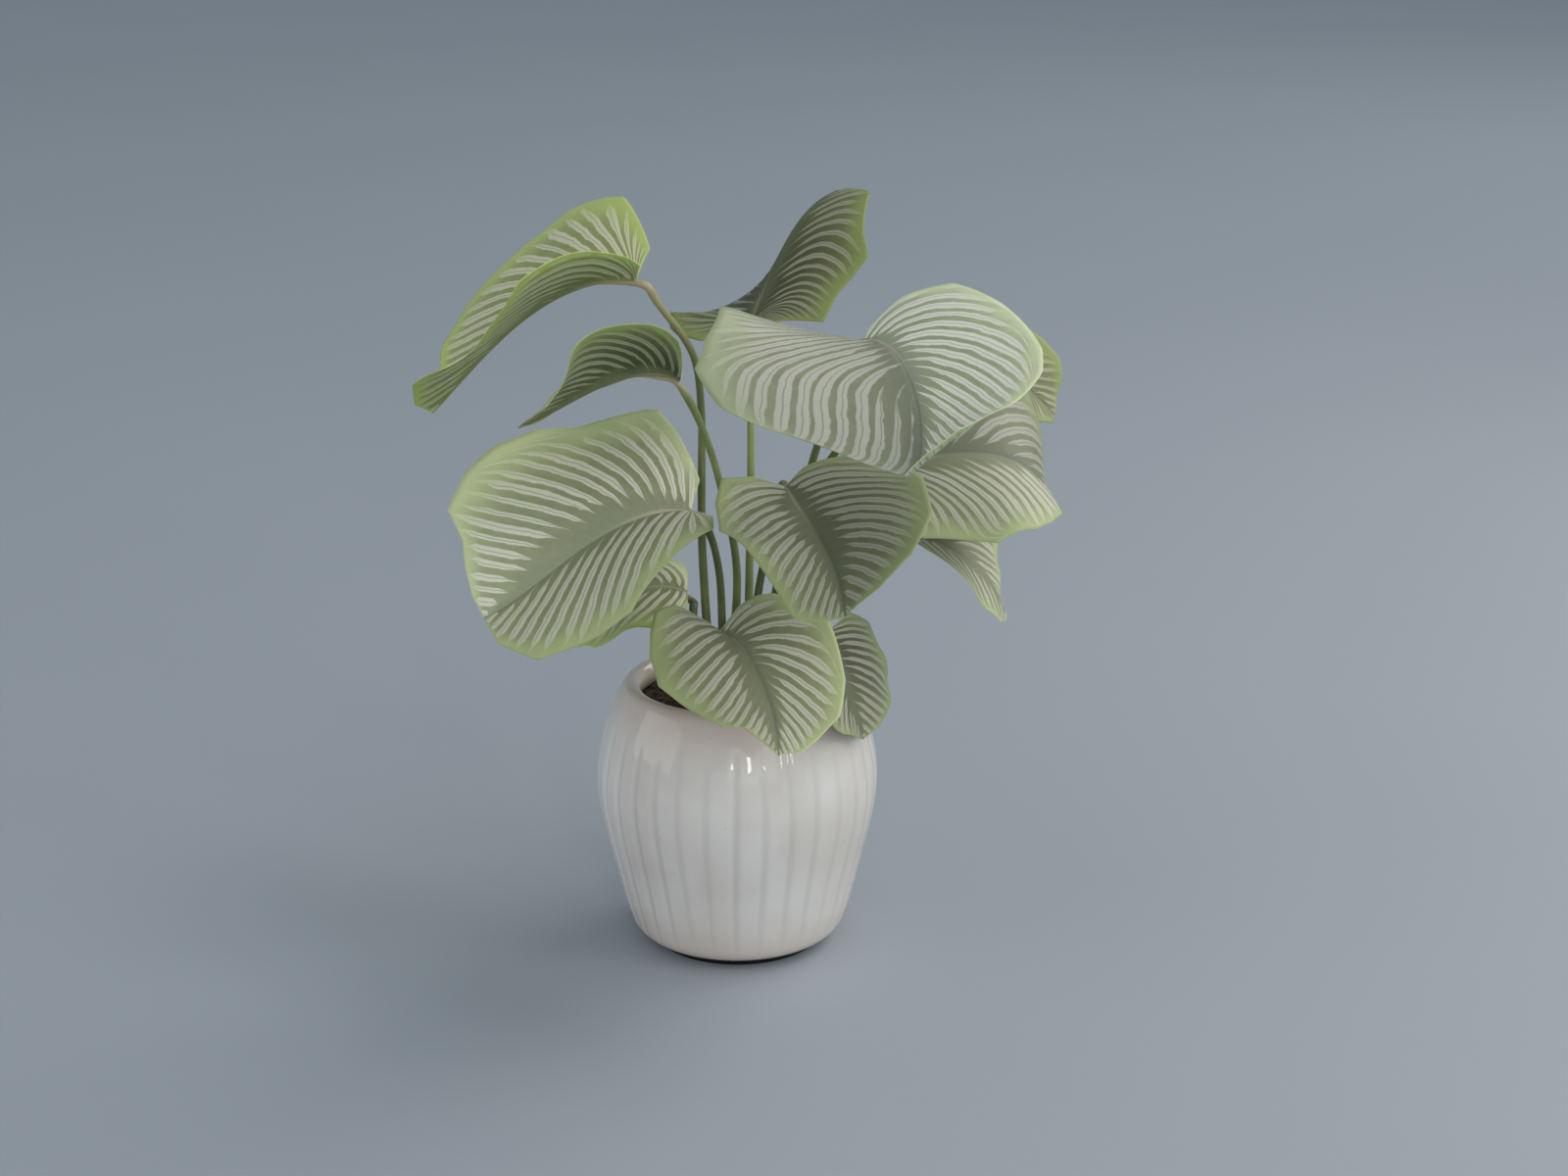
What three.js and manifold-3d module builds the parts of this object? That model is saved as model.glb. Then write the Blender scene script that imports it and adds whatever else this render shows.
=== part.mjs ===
// Peacock plant (Calathea orbifolia) in a fluted ceramic pot.
// Millimetres and degrees, +Z up. The origin is on the table, at the middle of the pot's flat foot,
// and the front of the plant looks toward -Y.
import * as THREE from 'three';
import Module from 'manifold-3d';
import { mergeVertices } from 'three/addons/utils/BufferGeometryUtils.js';

const wasm = await Module();
wasm.setup();

// ---- driving dimensions ------------------------------------------------------------------------

const GAP = 0.3;

// Pot: [height, radius] up the outside, over the rolled rim and down the inside.
const POT_OUTSIDE = [
  [0, 64], [2, 68], [6, 74.5], [14, 82.5], [30, 88.5], [50, 93.5], [75, 99.5],
  [100, 105.5], [125, 109.5], [145, 109.5], [165, 106], [182, 101.5], [195, 96],
];
const POT_RIM = [[204, 91.5], [210, 87.5], [213, 82], [212, 76], [208, 71.5], [203, 70]];
const POT_INSIDE = [[197, 72.5], [186, 84], [165, 96], [120, 99], [60, 86], [12, 60]];
const FLUTES = 32;
const FLUTE_DEPTH = 1.8;
const FLUTE_FROM = 12;
const FLUTE_TO = 188;
const SAMPLES_PER_FLUTE = 4;

const SOIL_TOP = 196;
const SOIL_CROWN = 4;
const SOIL_LUMP = 1.2;
const LUMPS_AROUND = 5;
const LUMP_SPREAD = 9;
const SOIL_BOTTOM = 12.3;
const SOIL_SIDES = 36;
const SOIL_TOP_RINGS = [1, 0.78, 0.5, 0.24];
const HOLE_DEPTH = 24;
const HOLE_SIDES = 10;
const HOLE_CLEARANCE = 0.4;
const CUT_ABOVE_SOIL = 20;

const BLADE_THICKNESS = 1.2;
const BLADE_COLUMNS = 5;
const BLADE_ROWS = 13;
const ROW_BUNCHING = 0.5;
const MIDRIB_STEPS = 24;
const BEHIND_BASE = 0.15;
const VEIN_SWEEP = 0.72;
const VEIN_CURVE = 1.4;
const NOTCH = 0.25;
const TIP_ROUNDNESS = 0.95;
const MARGIN_WAVE = 2;
const WAVES_ALONG = 3;

const STALK_FOOT_RADIUS = 4;
const STALK_TOP_RADIUS = 2.6;
const STALK_SIDES = 8;
const STALK_RINGS = 13;
const STALK_REACH = 8;
const STALK_DROP = 1;

// Leaves. base is where the blade starts. length runs along the midrib. heading is the compass of
// the midrib from +X toward +Y, and turn is how far it swings by the tip. pitch is the slope at the
// base, the middle and the tip. roll is the tilt about the midrib at the base and the tip. Each half
// has a width, a lobe behind the base as a share of the length, a fold up from flat at the base, the
// middle and the tip, and a curl back down toward its margin. foot and through are the stalk's way
// from the soil to the blade. A stalk comes in STALK_REACH behind the base, or where meets puts it.
const LEAVES = {
  upper_left: {
    base: [-72, -14, 529], length: 211, heading: 158, turn: 9,
    pitch: [0, -39, -47], roll: [1, -1], shoulder: 0.92,
    left: { width: 80, lobe: 0.02, fold: [52, 7, 46], curl: 13 },
    right: { width: 107, lobe: 0.03, fold: [53, 42, 40], curl: 24 },
    foot: [-21, 14],
    through: [[-27, 28, 316], [-27, 42, 378], [-27, 42, 415], [-32, 26, 462], [-58, -8, 511]],
  },
  mid_left: {
    base: [-41, 10, 448], length: 135, heading: 164, turn: 51,
    pitch: [20, -24, -10], roll: [-6, -12], shoulder: 0.83,
    left: { width: 76, lobe: 0.03, fold: [68, 56, 45], curl: 19 },
    right: { width: 60, lobe: 0.02, fold: [0, -15, -30], curl: 20 },
    foot: [-6, 14], meets: 2,
    through: [[0, 16, 297], [-14, 14, 372], [-25, 12, 408], [-35, 11, 431]],
  },
  top: {
    base: [12, 57, 484], length: 163, heading: 72, turn: -33,
    pitch: [31, 41, -4], roll: [-3, -5], shoulder: 0.82,
    left: { width: 79, lobe: 0.32, fold: [11, -63, -70], curl: 12 },
    right: { width: 70, lobe: 0.09, fold: [5, 4, 5], curl: 24 },
    foot: [8, 26],
    through: [[11, 32, 366], [11, 42, 440]],
  },
  upper_right: {
    base: [92, -118, 505], length: 207, heading: 305, turn: -57,
    pitch: [12, -28, 16], roll: [10, 18], shoulder: 0.83,
    left: { width: 88, lobe: 0.07, fold: [27, 19, 33], curl: 14 },
    right: { width: 154, lobe: 0.17, fold: [21, 17, 28], curl: -18 },
    foot: [22, -2],
    through: [[34, -14, 300], [57, -20, 388], [78, -88, 474]],
  },
  right: {
    base: [112, 20, 372], length: 160, heading: 1, turn: 24,
    pitch: [21, -8, -73], roll: [23, 10], shoulder: 0.83,
    left: { width: 106, lobe: 0.1, fold: [24, 24, 12], curl: -6 },
    right: { width: 92, lobe: 0.14, fold: [2, -1, -1], curl: 27 },
    foot: [32, 14],
    through: [[48, 16, 280], [80, 18, 345]],
  },
  centre: {
    base: [38, -48, 380], length: 205, heading: 291, turn: -19,
    pitch: [-21, -6, -20], roll: [16, 18], shoulder: 0.88,
    left: { width: 86, lobe: 0.09, fold: [23, 28, 27], curl: 30 },
    right: { width: 69, lobe: 0.24, fold: [2, 20, 3], curl: -6 },
    foot: [10, -12],
    through: [[17, -6, 285], [30, -26, 350]],
  },
  left: {
    base: [-33, -20, 353], length: 180, heading: 197, turn: -9,
    pitch: [10, -33, -27], roll: [-3, -31], shoulder: 0.71,
    left: { width: 102, lobe: 0.09, fold: [13, 9, 10], curl: 19 },
    right: { width: 133, lobe: 0.12, fold: [28, 17, 39], curl: 5 },
    foot: [-12, -6],
    through: [[-11, -12, 266], [-13, -15, 305], [-19, -16, 332]],
  },
  lower_left: {
    base: [-39, 34, 272], length: 106, heading: 178, turn: -1,
    pitch: [27, -29, -54], roll: [-1, -4], shoulder: 0.84,
    left: { width: 70, lobe: 0.1, fold: [-7, -2, 2], curl: 12 },
    right: { width: 66, lobe: 0.1, fold: [5, 6, 8], curl: 9 },
    foot: [-34, 4],
    through: [[-34, 8, 236], [-34, 20, 262]],
  },
  front: {
    base: [-13, -39, 263], length: 188, heading: 298, turn: -27,
    pitch: [9, -15, -8], roll: [-6, -7], shoulder: 0.82,
    left: { width: 62, lobe: 0.17, fold: [33, 26, 16], curl: -8 },
    right: { width: 88, lobe: 0.03, fold: [39, 21, 25], curl: 26 },
    foot: [-4, -26],
    through: [[-7, -28, 236], [-9, -32, 250]],
  },
  lower_right: {
    base: [65, -36, 258], length: 84, heading: 325, turn: -1,
    pitch: [-46, -66, -64], roll: [2, -1], shoulder: 0.82,
    left: { width: 69, lobe: 0.18, fold: [14, 11, 8], curl: 35 },
    right: { width: 59, lobe: 0.12, fold: [13, 18, 23], curl: 8 },
    foot: [32, -14],
    through: [[42, -20, 232], [53, -28, 258]],
  },
  right_low: {
    base: [126, 66, 308], length: 119, heading: 335, turn: 11,
    pitch: [10, -33, -73], roll: [-16, -17], shoulder: 0.85,
    left: { width: 66, lobe: 0.12, fold: [41, 21, 1], curl: -3 },
    right: { width: 59, lobe: 0.12, fold: [1, -11, -23], curl: -11 },
    foot: [38, 28],
    through: [[60, 36, 250], [98, 54, 294]],
  },
  far_right: {
    base: [185, 166, 419], length: 90, heading: 13, turn: -8,
    pitch: [17, -34, -45], roll: [9, 18], shoulder: 0.85,
    left: { width: 57, lobe: 0.11, fold: [17, 18, 18], curl: -19 },
    right: { width: 57, lobe: 0.12, fold: [18, 14, 9], curl: 29 },
    foot: [22, 34],
    through: [[38, 54, 300], [80, 96, 372], [142, 144, 408]],
  },
};

// ---- materials ---------------------------------------------------------------------------------

const glaze = new THREE.MeshStandardMaterial({ color: 0xc9c5c0, roughness: 0.25, metalness: 0 });
const earth = new THREE.MeshStandardMaterial({ color: 0x3a2c24, roughness: 0.95, metalness: 0 });
const leafGreen = new THREE.MeshStandardMaterial({ color: 0x8fa57c, roughness: 0.5, metalness: 0 });
const stalkGreen = new THREE.MeshStandardMaterial({ color: 0x75864f, roughness: 0.55, metalness: 0 });

// ---- helpers -----------------------------------------------------------------------------------

const radians = THREE.MathUtils.degToRad;
const mix = THREE.MathUtils.lerp;
const clamp = THREE.MathUtils.clamp;

// The smooth curve that starts, passes its middle and ends at the three given values.
function alongCurve([start, middle, end], t) {
  return start * (1 - t) * (1 - 2 * t) + middle * 4 * t * (1 - t) + end * t * (2 * t - 1);
}

function closedMesh(name, points, triangles, material) {
  const geometry = new THREE.BufferGeometry();
  geometry.setAttribute('position', new THREE.Float32BufferAttribute(points.flat(), 3));
  geometry.setIndex(triangles.flat());
  geometry.computeVertexNormals();
  const mesh = new THREE.Mesh(geometry, material);
  mesh.name = name;
  return mesh;
}

// Triangles between two rings of the same count: ring a is below or before ring b.
function band(a, b, count) {
  const faces = [];
  for (let i = 0; i < count; i += 1) {
    const j = (i + 1) % count;
    faces.push([a + i, a + j, b + j], [a + i, b + j, b + i]);
  }
  return faces;
}

function fan(centre, ring, count, outward) {
  const faces = [];
  for (let i = 0; i < count; i += 1) {
    const j = (i + 1) % count;
    faces.push(outward ? [centre, ring + i, ring + j] : [centre, ring + j, ring + i]);
  }
  return faces;
}

// ---- pot ---------------------------------------------------------------------------------------

// The wall follows one closed profile turned about the axis. Between the foot and the shoulder the
// outside is drawn in at the grooves between the flutes, and the grooves fade out at both ends.
function fluteDepthAt(height) {
  const way = (height - FLUTE_FROM) / (FLUTE_TO - FLUTE_FROM);
  return FLUTE_DEPTH * Math.sqrt(Math.sin(Math.PI * clamp(way, 0, 1)));
}

function buildPot() {
  const sides = FLUTES * SAMPLES_PER_FLUTE;
  const profile = [...POT_OUTSIDE, ...POT_RIM, ...POT_INSIDE];
  const points = [];
  const triangles = [];
  profile.forEach(([height, radius], row) => {
    const depth = row < POT_OUTSIDE.length ? fluteDepthAt(height) : 0;
    for (let i = 0; i < sides; i += 1) {
      const angle = (i / sides) * 2 * Math.PI;
      const groove = (0.5 + 0.5 * Math.cos(FLUTES * angle)) ** 2;
      const r = radius - depth * groove;
      points.push([r * Math.cos(angle), r * Math.sin(angle), height]);
    }
    if (row > 0) triangles.push(...band((row - 1) * sides, row * sides, sides));
  });
  const under = points.push([0, 0, 0]) - 1;
  const inside = points.push([0, 0, profile.at(-1)[0]]) - 1;
  triangles.push(...fan(under, 0, sides, false));
  triangles.push(...fan(inside, (profile.length - 1) * sides, sides, true));
  return closedMesh('pot', points, triangles, glaze);
}

// ---- soil --------------------------------------------------------------------------------------

function insideRadiusAt(height) {
  const below = POT_INSIDE.findIndex(([level]) => level <= height);
  const [highLevel, highRadius] = POT_INSIDE[below - 1];
  const [lowLevel, lowRadius] = POT_INSIDE[below];
  return mix(lowRadius, highRadius, (height - lowLevel) / (highLevel - lowLevel));
}

function soilHeightAt(radius, angle) {
  const rim = insideRadiusAt(SOIL_TOP);
  const mound = SOIL_CROWN * (1 - (radius / rim) ** 2);
  const around = Math.sin(LUMPS_AROUND * angle + radius / LUMP_SPREAD);
  const lumps = SOIL_LUMP * around * Math.sin((Math.PI * radius) / rim);
  return SOIL_TOP + mound + lumps;
}

function soilSolid() {
  const rim = insideRadiusAt(SOIL_TOP) - GAP;
  const walls = POT_INSIDE.filter(([height]) => height < SOIL_TOP).reverse();
  const rings = walls.map(([height, radius]) => [Math.max(height, SOIL_BOTTOM), radius - GAP]);
  const topRings = SOIL_TOP_RINGS.map((share) => share * rim);
  const points = [];
  const triangles = [];
  const ringCount = rings.length + topRings.length;
  for (let row = 0; row < ringCount; row += 1) {
    for (let i = 0; i < SOIL_SIDES; i += 1) {
      const angle = (i / SOIL_SIDES) * 2 * Math.PI;
      const onTop = row >= rings.length;
      const radius = onTop ? topRings[row - rings.length] : rings[row][1];
      const height = onTop ? soilHeightAt(radius, angle) : rings[row][0];
      points.push([radius * Math.cos(angle), radius * Math.sin(angle), height]);
    }
    if (row > 0) triangles.push(...band((row - 1) * SOIL_SIDES, row * SOIL_SIDES, SOIL_SIDES));
  }
  const under = points.push([0, 0, SOIL_BOTTOM]) - 1;
  const crown = points.push([0, 0, soilHeightAt(0, 0)]) - 1;
  triangles.push(...fan(under, 0, SOIL_SIDES, false));
  triangles.push(...fan(crown, (ringCount - 1) * SOIL_SIDES, SOIL_SIDES, true));
  return closedMesh('soil', points, triangles, earth).geometry;
}

function toManifold(geometry) {
  const bare = geometry.clone();
  bare.deleteAttribute('normal');
  bare.deleteAttribute('uv');
  const merged = mergeVertices(bare, 1e-4);
  const vertProperties = new Float32Array(merged.attributes.position.array);
  const triVerts = new Uint32Array(merged.index.array);
  return new wasm.Manifold(new wasm.Mesh({ numProp: 3, vertProperties, triVerts }));
}

function holeCutter([x, y]) {
  const height = HOLE_DEPTH + CUT_ABOVE_SOIL;
  const radius = STALK_FOOT_RADIUS + HOLE_CLEARANCE;
  const cutter = new THREE.CylinderGeometry(radius, radius, height, HOLE_SIDES);
  cutter.rotateX(Math.PI / 2);
  cutter.translate(x, y, SOIL_TOP - HOLE_DEPTH + height / 2);
  return toManifold(cutter);
}

function buildSoil() {
  let solid = toManifold(soilSolid());
  Object.values(LEAVES).forEach((leaf) => {
    solid = solid.subtract(holeCutter(leaf.foot));
  });
  const { vertProperties, triVerts } = solid.getMesh();
  return closedMesh('soil', [...vertProperties], [...triVerts], earth);
}

// ---- leaf blades -------------------------------------------------------------------------------

// Directions at a share of the midrib's length: along it, out to the left, and up off the blade.
function midribAxes(leaf, share) {
  const t = clamp(share, -BEHIND_BASE, 1);
  const forward = Math.max(t, 0);
  const pitch = radians(alongCurve(leaf.pitch, t));
  const heading = radians(leaf.heading + leaf.turn * forward);
  const roll = radians(mix(leaf.roll[0], leaf.roll[1], forward));
  const along = new THREE.Vector3(
    Math.cos(pitch) * Math.cos(heading),
    Math.cos(pitch) * Math.sin(heading),
    Math.sin(pitch),
  );
  const level = new THREE.Vector3(-Math.sin(heading), Math.cos(heading), 0);
  const left = level.applyAxisAngle(along, roll);
  const up = along.clone().cross(left);
  return { along, left, up };
}

// The midrib's point at a share of its length: the directions added up in short steps.
function midribPoint(leaf, share) {
  const point = new THREE.Vector3(...leaf.base);
  const step = share / MIDRIB_STEPS;
  for (let i = 0; i < MIDRIB_STEPS; i += 1) {
    const { along } = midribAxes(leaf, (i + 0.5) * step);
    point.addScaledVector(along, step * leaf.length);
  }
  return point;
}

// Half of the flat outline, from the notch at the stalk round the lobe to the tip: how far out, as a
// share of the half width, and how far along, in millimetres.
function flatMargin(leaf, half, share) {
  const turn = Math.PI * share;
  const roundness = share < 0.5 ? leaf.shoulder : TIP_ROUNDNESS;
  const notch = Math.max(1 - share / NOTCH, 0) ** 2;
  const middle = leaf.length * (0.5 - half.lobe / 2);
  const reach = (leaf.length * (1 + half.lobe)) / 2;
  const out = Math.max(Math.sin(turn), 0) ** roundness;
  const along = middle - reach * Math.cos(turn) + half.lobe * leaf.length * notch;
  return { out, along };
}

// A point of the blade's middle surface: side is 1 on the left and -1 on the right, across runs
// from the midrib to the margin, and along runs from the base to the tip on the side veins.
function bladePoint(leaf, side, across, along) {
  const half = side > 0 ? leaf.left : leaf.right;
  const margin = flatMargin(leaf, half, along ** VEIN_SWEEP);
  const bend = across ** VEIN_CURVE;
  const flatOut = margin.out * half.width * across;
  const flatAlong = mix(along * leaf.length, margin.along, bend);
  const share = flatAlong / leaf.length;
  const { left, up } = midribAxes(leaf, share);
  const fold = radians(alongCurve(half.fold, clamp(share, 0, 1)));
  const curl = radians(half.curl);
  const turned = fold - (curl * flatOut) / half.width;
  const arc = half.width / curl;
  const out = arc * (Math.sin(fold) - Math.sin(turned));
  const wave = Math.sin(2 * Math.PI * WAVES_ALONG * along + side) * Math.sin(Math.PI * along);
  const rise = arc * (Math.cos(turned) - Math.cos(fold)) + MARGIN_WAVE * across ** 2 * wave;
  return midribPoint(leaf, share)
    .addScaledVector(left, side * out)
    .addScaledVector(up, rise);
}

// Rows lie closer together toward the base and the tip, where the outline turns fastest.
function rowShare(row) {
  const even = row / BLADE_ROWS;
  return mix(even, 0.5 - 0.5 * Math.cos(Math.PI * even), ROW_BUNCHING);
}

function bladeFaces(columns) {
  const at = (row, column) => 1 + (row - 1) * columns + column;
  const tip = at(BLADE_ROWS, 0);
  const upper = [];
  for (let c = 0; c < columns - 1; c += 1) {
    upper.push([0, at(1, c + 1), at(1, c)]);
    for (let r = 1; r < BLADE_ROWS - 1; r += 1) {
      upper.push([at(r, c), at(r, c + 1), at(r + 1, c + 1)], [at(r, c), at(r + 1, c + 1), at(r + 1, c)]);
    }
    upper.push([at(BLADE_ROWS - 1, c), at(BLADE_ROWS - 1, c + 1), tip]);
  }
  const edge = [0];
  for (let r = 1; r < BLADE_ROWS; r += 1) edge.push(at(r, columns - 1));
  edge.push(tip);
  for (let r = BLADE_ROWS - 1; r > 0; r -= 1) edge.push(at(r, 0));
  return { upper, edge, count: tip + 1 };
}

function buildBlade(name, leaf) {
  const columns = 2 * BLADE_COLUMNS + 1;
  const { upper, edge, count } = bladeFaces(columns);
  const middle = [bladePoint(leaf, 1, 0, 0)];
  for (let r = 1; r < BLADE_ROWS; r += 1) {
    for (let c = 0; c < columns; c += 1) {
      const across = (c - BLADE_COLUMNS) / BLADE_COLUMNS;
      middle.push(bladePoint(leaf, across < 0 ? 1 : -1, Math.abs(across), rowShare(r)));
    }
  }
  middle.push(bladePoint(leaf, 1, 0, 1));
  const sheet = closedMesh(name, middle.map((p) => p.toArray()), upper, leafGreen);
  const normals = sheet.geometry.attributes.normal;
  const offset = (point, i, distance) => point
    .clone()
    .addScaledVector(new THREE.Vector3().fromBufferAttribute(normals, i), distance)
    .toArray();
  const points = [
    ...middle.map((point, i) => offset(point, i, BLADE_THICKNESS / 2)),
    ...middle.map((point, i) => offset(point, i, -BLADE_THICKNESS / 2)),
  ];
  const lower = upper.map(([a, b, c]) => [a + count, c + count, b + count]);
  const walls = edge.flatMap((p, i) => {
    const q = edge[(i + 1) % edge.length];
    return [[p + count, q + count, q], [p + count, q, p]];
  });
  return closedMesh(`blade_${name}`, points, [...upper, ...lower, ...walls], leafGreen);
}

// ---- leaf stalks -------------------------------------------------------------------------------

// A stalk stands in its hole, rises through its given points and ends lying close under the midrib.
function stalkPath(leaf) {
  const [x, y] = leaf.foot;
  const { meets = -STALK_REACH } = leaf;
  const hang = STALK_TOP_RADIUS + BLADE_THICKNESS / 2 + GAP;
  const under = (distance, drop) => {
    const share = distance / leaf.length;
    return midribPoint(leaf, share).addScaledVector(midribAxes(leaf, share).up, -drop);
  };
  return new THREE.CatmullRomCurve3([
    new THREE.Vector3(x, y, SOIL_TOP - HOLE_DEPTH + GAP),
    new THREE.Vector3(x, y, SOIL_TOP - HOLE_DEPTH / 3),
    new THREE.Vector3(x, y, SOIL_TOP + HOLE_DEPTH / 3),
    ...leaf.through.map((point) => new THREE.Vector3(...point)),
    under(meets, hang + STALK_DROP),
    under(STALK_REACH, hang),
  ]);
}

function buildStalk(name, leaf) {
  const path = stalkPath(leaf);
  const spots = path.getSpacedPoints(STALK_RINGS - 1);
  const frames = path.computeFrenetFrames(STALK_RINGS - 1);
  const points = [];
  const triangles = [];
  spots.forEach((spot, row) => {
    const radius = mix(STALK_FOOT_RADIUS, STALK_TOP_RADIUS, Math.sqrt(row / (STALK_RINGS - 1)));
    for (let i = 0; i < STALK_SIDES; i += 1) {
      const angle = (i / STALK_SIDES) * 2 * Math.PI;
      points.push(spot.clone()
        .addScaledVector(frames.normals[row], radius * Math.cos(angle))
        .addScaledVector(frames.binormals[row], radius * Math.sin(angle))
        .toArray());
    }
    if (row > 0) triangles.push(...band((row - 1) * STALK_SIDES, row * STALK_SIDES, STALK_SIDES));
  });
  const foot = points.push(spots[0].toArray()) - 1;
  const top = points.push(spots.at(-1).toArray()) - 1;
  triangles.push(...fan(foot, 0, STALK_SIDES, false));
  triangles.push(...fan(top, (STALK_RINGS - 1) * STALK_SIDES, STALK_SIDES, true));
  return closedMesh(`stalk_${name}`, points, triangles, stalkGreen);
}

// ---- the whole plant ---------------------------------------------------------------------------

const plant = new THREE.Group();
plant.name = 'peacock_plant';
plant.add(buildPot(), buildSoil());
Object.entries(LEAVES).forEach(([name, leaf]) => {
  plant.add(buildBlade(name, leaf), buildStalk(name, leaf));
});

export default plant;
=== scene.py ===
# %% [markdown]
# # A peacock plant in a fluted pot
#
# A peacock plant is a clump of bare stalks. Each stands in the soil by itself and carries one broad,
# rounded leaf blade, striped silver along its side veins. Here the pot, the soil, every stalk and
# every blade is its own piece, so a material or a shape can be changed without touching the rest.
#
# The packed model is loaded first. It gives the plain solids, the shared frame and the size that
# the finished pieces must keep. Lengths below are in millimetres and are multiplied by `MM`,
# because Blender counts in metres.

import bpy
import numpy as np
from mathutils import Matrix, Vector


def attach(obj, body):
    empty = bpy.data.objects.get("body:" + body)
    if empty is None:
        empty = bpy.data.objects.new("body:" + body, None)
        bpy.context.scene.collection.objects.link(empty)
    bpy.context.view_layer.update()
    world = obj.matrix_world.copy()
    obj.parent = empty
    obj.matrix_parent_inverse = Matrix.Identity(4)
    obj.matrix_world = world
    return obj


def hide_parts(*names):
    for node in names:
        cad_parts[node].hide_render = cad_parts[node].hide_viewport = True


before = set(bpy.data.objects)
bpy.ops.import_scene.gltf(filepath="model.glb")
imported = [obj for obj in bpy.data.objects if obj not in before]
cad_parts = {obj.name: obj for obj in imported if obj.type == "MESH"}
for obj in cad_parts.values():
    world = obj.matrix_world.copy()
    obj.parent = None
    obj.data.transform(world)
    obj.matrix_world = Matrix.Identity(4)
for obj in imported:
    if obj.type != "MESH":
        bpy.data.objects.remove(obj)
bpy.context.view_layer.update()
MM = 0.001
print("solids in the frame:", len(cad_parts))

# %% [markdown]
# ## Camera, light and floor
#
# A potted plant shows best from a little above, and from far enough back that the pot's sides stay
# nearly parallel. A 60 mm lens from about two metres does that.

# %% Camera
LENS = 60
SENSOR = 36
CAMERA_PLACE = (0.0366, -1.9177, 0.8833)
CAMERA_BELOW_LEVEL = 17.3

scene = bpy.context.scene
camera = bpy.data.objects.new("camera", bpy.data.cameras.new("camera"))
camera.data.lens = LENS
camera.data.sensor_width = SENSOR
camera.location = CAMERA_PLACE
camera.rotation_euler = (np.radians(90 - CAMERA_BELOW_LEVEL), 0, 0)
scene.collection.objects.link(camera)
scene.camera = camera
scene.view_settings.view_transform = "Standard"
print("view across, in degrees:", round(np.degrees(camera.data.angle), 1))

# %% [markdown]
# A light is easiest to place by where it stands around the plant. So its direction is given as
# azimuth, turned anticlockwise from +X, and elevation, and a helper sets it at its distance and
# turns it to face the middle of the plant.

# %% Placing a light
AIM = Vector((0, 0, 0.25))


def toward_light(azimuth, elevation):
    """(cos elevation cos azimuth, cos elevation sin azimuth, sin elevation), angles in degrees."""
    turn, lift = np.radians(azimuth), np.radians(elevation)
    return Vector((np.cos(lift) * np.cos(turn), np.cos(lift) * np.sin(turn), np.sin(lift)))


def add_light(name, light, distance, azimuth, elevation):
    """The light, at its distance and direction and turned to shine on the plant."""
    direction = toward_light(azimuth, elevation)
    lamp = bpy.data.objects.new(name, light)
    lamp.location = AIM + direction * distance
    lamp.rotation_euler = direction.to_track_quat("Z", "Y").to_euler()
    scene.collection.objects.link(lamp)


print("lights aim at:", tuple(round(value, 2) for value in AIM))

# %% [markdown]
# The light is that of a large studio. A sun lamp with a broad disc stands high on the right, and a
# panel lower at the back right, so the upper sides of the leaves glow, their undersides stay dark
# and two soft shadows fall to the left. Wide panels in front and on the left light the pot's wall,
# and low ones on both sides reach under the leaves. All these are far off, so they light the floor
# almost evenly. Two small panels stand near, because a near light brightens the plant more than the
# floor around it. Two tall, narrow windows give the glaze its short upright glints.

# %% Lights
SUN_STRENGTH = 0.43
SUN_DISC = 25
SUN_COLOUR = (1.0, 0.97, 0.96)
SUN_PLACE = (7.0, -5, 60)
STUDIO_GREY = (0.255, 0.306, 0.345, 1)
# The sun's place is its distance, azimuth and elevation. Each panel has the same three, and then
# its width, height, watts and colour.
PANELS = {
    "back_right": (7.0, 45, 35, 2.8, 2.8, 80, (1.0, 0.98, 0.92)),
    "warm_front": (7.0, -75, 20, 4.5, 4.5, 58, (0.98, 1.0, 0.96)),
    "warm_left": (7.0, -130, 25, 4.5, 4.5, 24, (1.0, 0.82, 0.72)),
    "low_left": (4.0, -165, 14, 3.2, 2.0, 20, (1.0, 0.95, 0.9)),
    "low_right": (7.0, 0, 12, 2.8, 2.8, 14, (1.0, 0.85, 0.6)),
    "near_right": (2.5, 25, 25, 1.0, 1.0, 8.5, (1.0, 0.94, 0.82)),
    "near_front": (2.5, -30, 30, 1.0, 1.0, 11, (1.0, 1.0, 0.97)),
    "window_right": (7.0, -48, 15, 0.35, 2.0, 22, (1.0, 0.99, 0.95)),
    "window_middle": (7.0, -79, 17, 0.35, 2.4, 32, (1.0, 0.99, 0.95)),
}

sun = bpy.data.lights.new("high_sun", "SUN")
sun.energy = SUN_STRENGTH
sun.angle = np.radians(SUN_DISC)
sun.color = SUN_COLOUR
add_light("high_sun", sun, *SUN_PLACE)

for name, (distance, azimuth, elevation, width, height, watts, colour) in PANELS.items():
    panel = bpy.data.lights.new(name, "AREA")
    panel.shape = "RECTANGLE"
    panel.size = width
    panel.size_y = height
    panel.energy = watts
    panel.color = colour
    add_light(name, panel, distance, azimuth, elevation)

world = bpy.data.worlds.new("studio")
world.use_nodes = True
world.node_tree.nodes["Background"].inputs["Color"].default_value = STUDIO_GREY
scene.world = world
print("lights:", 1 + len(PANELS))

# %% [markdown]
# ## Wiring materials
#
# Every finish below is worked out by shader nodes. A colour is written as the usual six-digit code,
# which must be turned into the linear values that a shader counts with.

# %% Colours
def paint(code):
    """A colour code as linear red, green, blue and 1: each channel is bent by the screen's curve."""
    channels = np.array([int(code[i:i + 2], 16) for i in (1, 3, 5)]) / 255
    linear = np.where(channels <= 0.04045, channels / 12.92, ((channels + 0.055) / 1.055) ** 2.4)
    return (*linear.tolist(), 1.0)


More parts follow.
